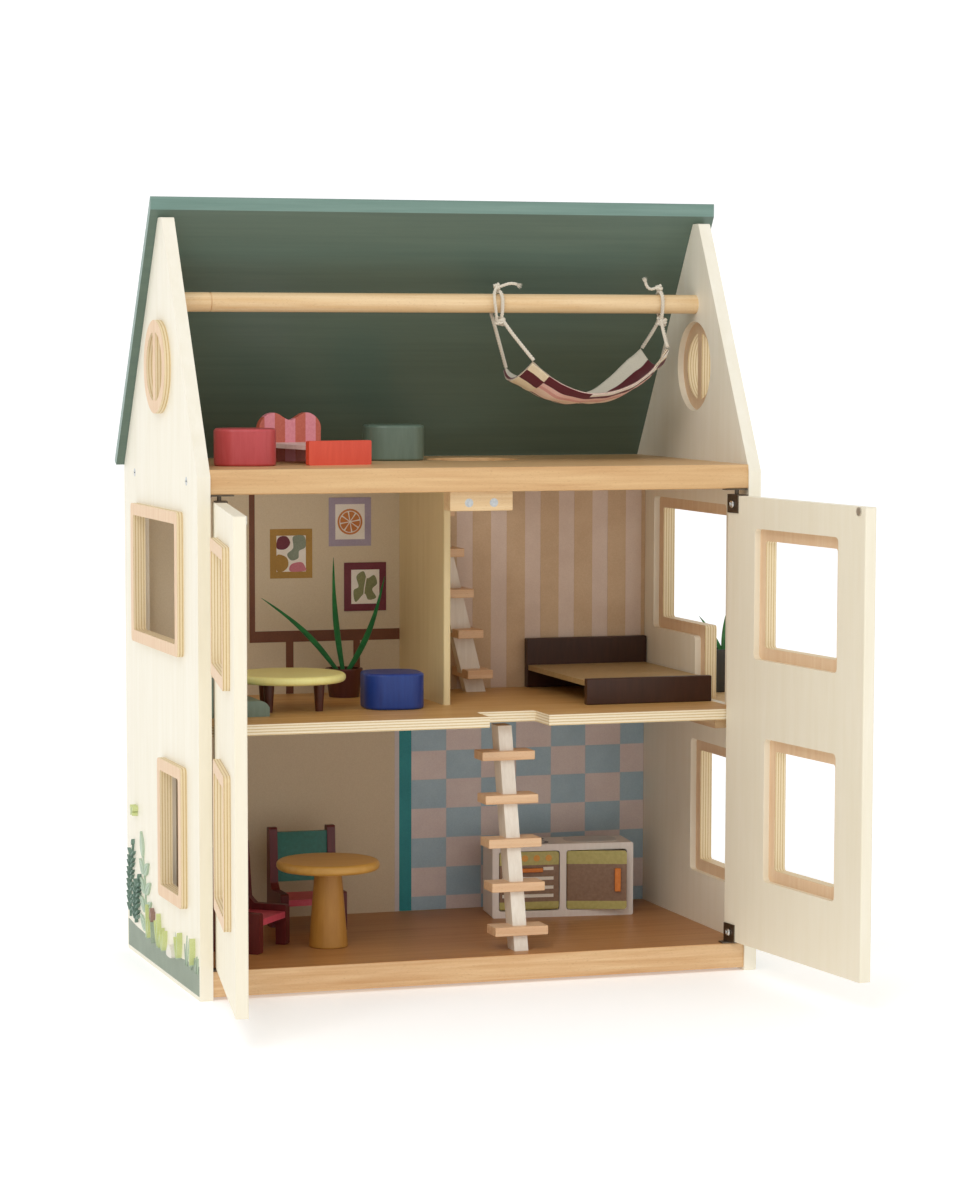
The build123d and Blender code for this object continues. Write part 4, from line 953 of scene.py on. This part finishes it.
# ------------------------------------------------------------------- poufs
# Three beech poufs, 57 mm across and 34 mm high with rounded corners, dipped
# in satin colour. The grain still shows a little through the thin paint.
def thin_paint(name, low, high, rough=0.4, grain=(240.0, 240.0, 30.0)):
    """Satin paint on beech: even, with faint grain and small dips."""
    mat = new_material(name)
    place = node(mat, "ShaderNodeTexCoord").outputs["Object"]
    pull = node(mat, "ShaderNodeMapping", {"Vector": place, "Scale": grain})
    wood = node(mat, "ShaderNodeTexNoise", {"Vector": pull.outputs[0], "Scale": 1.0, "Detail": 5.0,
                                            "Roughness": 0.6})
    tone = node(mat, "ShaderNodeValToRGB", {"Fac": wood.outputs[0]}, [(0.3, low), (0.7, high)])
    dips = node(mat, "ShaderNodeTexNoise", {"Vector": place, "Scale": 750.0, "Detail": 2.0})
    bump = node(mat, "ShaderNodeBump", {"Height": dips.outputs[0], "Strength": 0.10, "Distance": 0.0003})
    return surface(mat, tone.outputs[0], bump.outputs[0], Roughness=rough, Coat_Weight=0.15,
                   Coat_Roughness=0.25)


pink_lacquer = thin_paint("pink_lacquer_on_beech", "#bd4246", "#c75054")
sage_lacquer = thin_paint("sage_lacquer_on_beech", "#5f7263", "#6a7d6e")
blue_lacquer = thin_paint("navy_lacquer_on_beech", "#0a3180", "#123d92")
finish("pouf_pink", pink_lacquer)
finish("pouf_green", sage_lacquer)
finish("pouf_blue", blue_lacquer)

# --------------------------------------------------------------- child's bed
# Up in the attic, a single bed. The headboard is printed with brick and pink
# stripes under the lacquer, the footboard is red and the base a pale rose.
bed_x, bed_y = -124.0, -8.0
bed_turn = math.radians(10)
pitch = 0.0107
headboard = new_material("striped_print_on_ply_headboard")
place = node(headboard, "ShaderNodeTexCoord").outputs["Object"]
along = node(headboard, "ShaderNodeVectorMath",
             {0: place, 1: (math.cos(bed_turn), math.sin(bed_turn), 0)}, operation="DOT_PRODUCT")
shift = (bed_x * math.cos(bed_turn) + bed_y * math.sin(bed_turn)) / 1000
steps = node(headboard, "ShaderNodeMath", {0: along.outputs["Value"], 1: shift - pitch / 2},
             operation="SUBTRACT")
steps = node(headboard, "ShaderNodeMath", {0: steps.outputs[0], 1: 2 * pitch}, operation="DIVIDE")
steps = node(headboard, "ShaderNodeMath", {0: steps.outputs[0]}, operation="FRACT")
over = node(headboard, "ShaderNodeMath", {0: steps.outputs[0], 1: 0.5}, operation="GREATER_THAN")
speck = node(headboard, "ShaderNodeTexNoise", {"Vector": place, "Scale": 500.0, "Detail": 4.0})
pink_tone = node(headboard, "ShaderNodeValToRGB", {"Fac": speck.outputs[0]},
                 [(0.3, "#df8490"), (0.7, "#e8949d")])
brick_tone = node(headboard, "ShaderNodeValToRGB", {"Fac": speck.outputs[0]},
                  [(0.3, "#c25a45"), (0.7, "#cb6852")])
seen = node(headboard, "ShaderNodeMix", {"Factor": over.outputs[0], 6: pink_tone.outputs[0],
                                         7: brick_tone.outputs[0]}, data_type="RGBA")
bump = node(headboard, "ShaderNodeBump", {"Height": speck.outputs[0], "Strength": 0.08, "Distance": 0.0002})
surface(headboard, seen.outputs[2], bump.outputs[0], Roughness=0.45, Coat_Weight=0.15, Coat_Roughness=0.3)
finish("child_bed_headboard", headboard)
signal_red = thin_paint("red_lacquer_on_ply", "#dd4a30", "#e6563a")
finish("child_bed_base", thin_paint("pale_rose_lacquer_on_ply", "#e3c6c0", "#ecd4ce"))
finish("child_bed_footboard", signal_red)

# ---------------------------------------------------- coffee table and plant
# On the upper floor, a round coffee table on three tapered dark legs, and a
# pot plant: thick green felt leaves that stand in a turned pot of dark soil.
olive_lacquer = thin_paint("olive_yellow_lacquer_on_beech", "#f4ee98", "#f9f4a6")
walnut_stain = thin_paint("dark_walnut_stain_on_beech", "#4a2013", "#5a2a1b", rough=0.45)
finish("coffee_table_top", olive_lacquer)
finish("coffee_table_legs", walnut_stain)
pot_maroon = thin_paint("dark_maroon_lacquer_on_beech", "#4d2018", "#5c2a20")
finish("plant_pot", pot_maroon)


def felt_leaves(name, soil_top, low, high, soil_low="#2c1d12", soil_high="#4a3524"):
    """Green leaves above a height and dark soil below it."""
    mat = new_material(name)
    place = node(mat, "ShaderNodeTexCoord").outputs["Object"]
    height = node(mat, "ShaderNodeSeparateXYZ", {0: place})
    above_soil = node(mat, "ShaderNodeMath", {0: height.outputs["Z"], 1: soil_top}, operation="GREATER_THAN")
    fibre = node(mat, "ShaderNodeTexNoise", {"Vector": place, "Scale": 1100.0, "Detail": 5.0})
    patch = node(mat, "ShaderNodeTexNoise", {"Vector": place, "Scale": 110.0, "Detail": 2.0})
    both = node(mat, "ShaderNodeMath", {0: fibre.outputs[0], 1: patch.outputs[0]}, operation="ADD")
    both = node(mat, "ShaderNodeMath", {0: both.outputs[0], 1: 0.5}, operation="MULTIPLY")
    green = node(mat, "ShaderNodeValToRGB", {"Fac": both.outputs[0]}, [(0.35, low), (0.65, high)])
    soil = node(mat, "ShaderNodeValToRGB", {"Fac": fibre.outputs[0]}, [(0.35, soil_low), (0.65, soil_high)])
    seen = node(mat, "ShaderNodeMix", {"Factor": above_soil.outputs[0], 6: soil.outputs[0],
                                       7: green.outputs[0]}, data_type="RGBA")
    bump = node(mat, "ShaderNodeBump", {"Height": fibre.outputs[0], "Strength": 0.5, "Distance": 0.0005})
    return surface(mat, seen.outputs[2], bump.outputs[0], Roughness=0.85, Sheen_Weight=0.25)


stem_green = felt_leaves("deep_green_pressed_felt", 0.2735, "#14622c", "#218040")
pot_low, pot_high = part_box("plant_pot")
pot_x, pot_y = (pot_low[0] + pot_high[0]) / 2, (pot_low[1] + pot_high[1]) / 2


def blade(root, tip, bow, wide, thick, rings=22, sides=12):
    """A thick blade with a keel, widest a third of the way up."""
    verts, faces = [], []
    root, tip, bow = Vector(root), Vector(tip), Vector(bow)
    for i in range(rings + 1):
        f = i / rings
        p = root.lerp(tip, f) + bow * math.sin(math.pi * f)
        d = (tip - root + bow * math.pi * math.cos(math.pi * f)).normalized()
        flat = d.cross(Vector((0, 1, 0))).normalized()
        swell = (0.62 + 0.38 * math.sin(math.pi * min(1, f * 1.35))) * (1 - f ** 5 * 0.9)
        for j in range(sides):
            a = 2 * math.pi * j / sides
            keel = 0.25 * max(0, math.cos(a + math.pi / 2)) ** 3
            verts.append(p + flat * math.cos(a) * wide / 2 * swell
                         + d.cross(flat) * (math.sin(a) * (1 + keel)) * thick / 2 * swell)
    for i in range(rings):
        for j in range(sides):
            a, b = i * sides + j, i * sides + (j + 1) % sides
            faces.append((a, b, b + sides, a + sides))
    faces.append(tuple(reversed(range(sides))))
    faces.append(tuple(rings * sides + j for j in range(sides)))
    return verts, faces


verts, faces = [], []
for to_x, to_y, to_z, bow_x, bow_z, wide in ((-0.152, 0.080, 0.3459, 0.004, 0.004, 0.0056),
                                             (-0.080, 0.080, 0.3836, -0.003, 0.0, 0.0062),
                                             (-0.0282, 0.080, 0.3647, 0.004, -0.005, 0.0062)):
    start = (pot_x + (to_x - pot_x) * 0.05, pot_y, pot_high[2] - 0.006)
    v, f = blade(start, (to_x, to_y, to_z), (bow_x, 0, bow_z), wide, 0.0042)
    faces += [tuple(len(verts) + k for k in g) for g in f]
    verts += v
blades = piece("plant_blades", verts, faces, [stem_green], "pot_plant")
# crumbly soil, pressed into the pot and a little heaped
rng = random.Random(21)
verts, faces, rings, sides = [], [], 9, 36
radius = (pot_high[0] - pot_low[0]) / 2 - 0.0038
for i in range(rings + 1):
    r = radius * i / rings
    for j in range(sides):
        a = 2 * math.pi * j / sides
        lump = rng.uniform(-0.0005, 0.0005) if 0 < i < rings else 0
        verts.append((pot_x + r * math.cos(a), pot_y + r * math.sin(a),
                      pot_high[2] - 0.0035 + 0.0016 * math.cos(math.pi / 2 * i / rings) + lump))
for i in range(rings):
    for j in range(sides):
        a, b = i * sides + j, i * sides + (j + 1) % sides
        faces.append((a, a + sides, b + sides, b))
base = len(verts)
verts += [(x, y, pot_high[2] - 0.0065) for x, y, _ in verts[rings * sides:]]
faces += [(rings * sides + j, base + j, base + (j + 1) % sides, rings * sides + (j + 1) % sides)
          for j in range(sides)]
faces.append(tuple(base + j for j in reversed(range(sides))))
soil = piece("plant_soil", verts, faces, [stem_green], "pot_plant")
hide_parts("plant_leaves")

# -------------------------------------------------- double bed and lounge
# On the upper floor, a low bed of dark stained boards with a paler base on
# the right, and a solid wedge lounge in grey green lacquer on the left.
bed_umber = thin_paint("dark_umber_stain_on_ply", "#331505", "#3f1d0b", rough=0.42)
bed_base_tan = thin_paint("tan_lacquer_on_beech", "#a98d5c", "#b5996a", rough=0.5)
finish("double_bed_headboard", bed_umber)
finish("double_bed_footboard", bed_umber)
finish("double_bed_base", bed_base_tan)
lounge_green = thin_paint("grey_green_lacquer_on_beech", "#74897a", "#829688", rough=0.45)
finish("lounge_seat", lounge_green)

# ---------------------------------------------------------- balcony planter
# A dark boxy planter on the deck, filled with the same felt leaves.
planter_black = thin_paint("charcoal_lacquer_on_beech", "#2b2926", "#3b3935", rough=0.45)
finish("balcony_planter", planter_black)
finish("balcony_planter_leaves", felt_leaves("mid_green_pressed_felt", 0.284, "#2d6b35", "#468a4c"))

# ------------------------------------------------------------------- ladders
# Each ladder is one off white painted spine of beech, with clear beech treads
# let into it.
spine_paint = thin_paint("off_white_paint_on_beech_spine", "#e3d8c8", "#efe6d8", grain=(300.0, 300.0, 20.0))
tread_beech = beech("beech_treads", 0, "#d9ad83", "#e8c49c")
for name in ("ladder_lower", "ladder_upper"):
    finish(name + "_spine", spine_paint)
    finish(name + "_treads", tread_beech)

# -------------------------------------------------------- table and chairs
# Two chairs with a dark sawn frame and a pink seat under a teal back, by a
# round table on one turned post.
chair_dark = thin_paint("dark_red_brown_stain_on_beech", "#5a1416", "#6b1c1e", rough=0.42)
chair_seat = new_material("teal_and_pink_lacquer_on_beech")
place = node(chair_seat, "ShaderNodeTexCoord").outputs["Object"]
height = node(chair_seat, "ShaderNodeSeparateXYZ", {0: place})
upper = node(chair_seat, "ShaderNodeMath", {0: height.outputs["Z"], 1: 0.065}, operation="GREATER_THAN")
grain = node(chair_seat, "ShaderNodeTexNoise", {"Vector": place, "Scale": 260.0, "Detail": 5.0})
teal = node(chair_seat, "ShaderNodeValToRGB", {"Fac": grain.outputs[0]}, [(0.3, "#0f6354"), (0.7, "#1a7263")])
pink = node(chair_seat, "ShaderNodeValToRGB", {"Fac": grain.outputs[0]}, [(0.3, "#d0475c"), (0.7, "#da5669")])
seen = node(chair_seat, "ShaderNodeMix", {"Factor": upper.outputs[0], 6: pink.outputs[0], 7: teal.outputs[0]},
            data_type="RGBA")
bump = node(chair_seat, "ShaderNodeBump", {"Height": grain.outputs[0], "Strength": 0.1, "Distance": 0.0002})
surface(chair_seat, seen.outputs[2], bump.outputs[0], Roughness=0.42, Coat_Weight=0.15, Coat_Roughness=0.25)
for name in ("chair_rear", "chair_side"):
    finish(name + "_frame", chair_dark)
    finish(name + "_seat", chair_seat)
table_beech = beech("oiled_beech_table", 0, "#b98838", "#c9984a")
finish("table_top", table_beech)
finish("table_pedestal", thin_paint("ochre_stain_on_beech", "#b07a2c", "#bd893a", rough=0.5))

# ------------------------------------------------------------------ kitchen
# One beech block in off white lacquer, with an oven door that folds down on
# the left and a cupboard door on the right. The controls and the grill are
# printed, and the handles are orange wood.
kitchen_cream = thin_paint("off_white_lacquer_on_beech", "#ebe2da", "#f2ebe4", rough=0.45)
finish("kitchen_body", kitchen_cream)
kitchen_at = (147, 67, 27)
turn = math.radians(-7)


def kitchen_place(x, y, z):
    """A place in metres, from millimetres along the turned kitchen's own sides."""
    return ((kitchen_at[0] + x * math.cos(turn) - y * math.sin(turn)) / 1000,
            (kitchen_at[1] + x * math.sin(turn) + y * math.cos(turn)) / 1000, (kitchen_at[2] + z) / 1000)


def kitchen_door(name, low_band, high_band, pin=(0.0, 0.0), ajar=0.0):
    """Taupe lacquer between two olive bands, with the handle in orange."""
    mat = new_material(name)
    place = node(mat, "ShaderNodeTexCoord").outputs["Object"]
    spin = node(mat, "ShaderNodeMapping", {"Vector": place, "Location": [-c / 1000 for c in kitchen_at]})
    spin = node(mat, "ShaderNodeMapping", {"Vector": spin.outputs[0], "Rotation": (0, 0, -turn)})
    spin = node(mat, "ShaderNodeMapping", {"Vector": spin.outputs[0], "Location": (-pin[0], -pin[1], 0)})
    spin = node(mat, "ShaderNodeMapping", {"Vector": spin.outputs[0], "Rotation": (0, 0, ajar),
                                           "Location": (pin[0], pin[1], 0)})
    axes = node(mat, "ShaderNodeSeparateXYZ", {0: spin.outputs[0]})
    low = node(mat, "ShaderNodeMath", {0: axes.outputs["Z"], 1: low_band}, operation="LESS_THAN")
    high = node(mat, "ShaderNodeMath", {0: axes.outputs["Z"], 1: high_band}, operation="GREATER_THAN")
    band = node(mat, "ShaderNodeMath", {0: low.outputs[0], 1: high.outputs[0]}, operation="MAXIMUM")
    wood = node(mat, "ShaderNodeTexNoise", {"Vector": place, "Scale": 300.0, "Detail": 5.0})
    taupe = node(mat, "ShaderNodeValToRGB", {"Fac": wood.outputs[0]}, [(0.3, "#866850"), (0.7, "#94765d")])
    olive = node(mat, "ShaderNodeValToRGB", {"Fac": wood.outputs[0]}, [(0.3, "#b5ac62"), (0.7, "#c3ba72")])
    seen = node(mat, "ShaderNodeMix", {"Factor": band.outputs[0], 6: taupe.outputs[0], 7: olive.outputs[0]},
                data_type="RGBA")
    out = node(mat, "ShaderNodeMath", {0: axes.outputs["Y"], 1: -0.0236}, operation="LESS_THAN")
    orange = node(mat, "ShaderNodeValToRGB", {"Fac": wood.outputs[0]}, [(0.3, "#dd7a22"), (0.7, "#e88a34")])
    seen = node(mat, "ShaderNodeMix", {"Factor": out.outputs[0], 6: seen.outputs[2], 7: orange.outputs[0]},
                data_type="RGBA")
    bump = node(mat, "ShaderNodeBump", {"Height": wood.outputs[0], "Strength": 0.1, "Distance": 0.0002})
    return surface(mat, seen.outputs[2], bump.outputs[0], Roughness=0.45, Coat_Weight=0.12,
                   Coat_Roughness=0.3)


finish("kitchen_oven_door", kitchen_door("taupe_and_olive_lacquer_oven_door", 0.0155, 0.052))
finish("kitchen_cupboard_door", kitchen_door("taupe_and_olive_lacquer_cupboard_door", 0.0153, 0.0522,
                                             pin=(0.00725, -0.0207), ajar=math.radians(11)))
hob_ink = ink("dark_hob_print", "#5a4a42", "#6b5a50", rough=0.35)
sink_ink = ink("grey_sink_print", "#c9c3bd", "#d6d0ca", rough=0.35)
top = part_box("kitchen_body")[1][2] * 1000 - kitchen_at[2]
shapes = [(hob_ink, ellipse(x, y, 10.5, 10.5)) for x, y in ((-47, -8), (-22, -8), (-47, 16), (-22, 16))]
shapes += [(kitchen_cream, ellipse(x, y, 6.5, 6.5)) for x, y in ((-47, -8), (-22, -8), (-47, 16), (-22, 16))]
shapes += [(sink_ink, closed_curve([(12, -12), (54, -12), (54, 20), (12, 20)], 6))]
printed("hob_and_sink", shapes, lambda x, y, h: kitchen_place(x, y, top + h * 1000), "kitchen")
knob_ink = ink("ochre_knob_print", "#dc9a3a", "#e6a94c", rough=0.4)
grill_ink = ink("white_grill_print", "#e9e2d4", "#f3ede1", rough=0.4)
shapes = [(knob_ink, ellipse(x, 58.7, 3.2, 3.2)) for x in (-50.2, -38.3, -26.4, -14.4)]
for z in (48.3, 38.6, 29.6, 21.4):
    parts = [(-61, -48.2), (-19.8, -9.5)] if z == 48.3 else [(-61, -9.5)]
    shapes += [(grill_ink, block(x0, x1, z - 1.6, z + 1.6)) for x0, x1 in parts]
printed("oven_controls", shapes, lambda x, z, h: kitchen_place(x, -23.2 - h * 1000, z), "oven_door",
        step=0.0)

# --------------------------------------------------------- studio and lights
# A wide white table that curves up into a white wall behind, a soft even sky
# and two large soft lights, the stronger one high at the front left.
white_table = new_material("matt_white_table")
place = node(white_table, "ShaderNodeTexCoord").outputs["Object"]
tooth = node(white_table, "ShaderNodeTexNoise", {"Vector": place, "Scale": 160.0, "Detail": 3.0})
tone = node(white_table, "ShaderNodeValToRGB", {"Fac": tooth.outputs[0]},
            [(0.3, "#f7f7f7"), (0.7, "#fbfbfb")])
# a faint glow keeps the whole sweep white, as an overlit backdrop is
surface(white_table, tone.outputs[0], Roughness=0.9, Specular_IOR_Level=0.1, Emission_Color="#ffffff",
        Emission_Strength=0.27)
half = 14.0
mesh = bpy.data.meshes.new("table_and_wall")
profile = [(-half, 0.0), (4.0, 0.0)] + [(4.0 + 1.6 * math.sin(a), 1.6 - 1.6 * math.cos(a))
                                       for a in (math.pi / 2 * k / 12 for k in range(1, 13))] + [(5.6, 9.0)]
mesh.from_pydata([(x, y, z) for y, z in profile for x in (-half, half)], [],
                 [(2 * i, 2 * i + 1, 2 * i + 3, 2 * i + 2) for i in range(len(profile) - 1)])
mesh.materials.append(white_table)
floor = bpy.data.objects.new("table_and_wall", mesh)
bpy.context.scene.collection.objects.link(floor)

world = bpy.data.worlds.new("soft_white_room")
bpy.context.scene.world = world
world.use_nodes = True
world.node_tree.nodes["Background"].inputs["Color"].default_value = (1, 1, 1, 1)
world.node_tree.nodes["Background"].inputs["Strength"].default_value = 0.70


def soft_light(name, at, look, size, power):
    data = bpy.data.lights.new(name, "AREA")
    data.shape, data.size, data.energy = "SQUARE", size, power
    lamp = bpy.data.objects.new(name, data)
    lamp.location = at
    lamp.rotation_euler = (Vector(look) - Vector(at)).to_track_quat("-Z", "Y").to_euler()
    bpy.context.scene.collection.objects.link(lamp)


soft_light("key_light", (-1.9, -2.6, 2.9), (0, 0, 0.35), 1.8, 40)
soft_light("fill_light", (2.4, -2.4, 1.6), (0, 0, 0.35), 2.4, 8)
bpy.context.scene.view_settings.view_transform = "Standard"
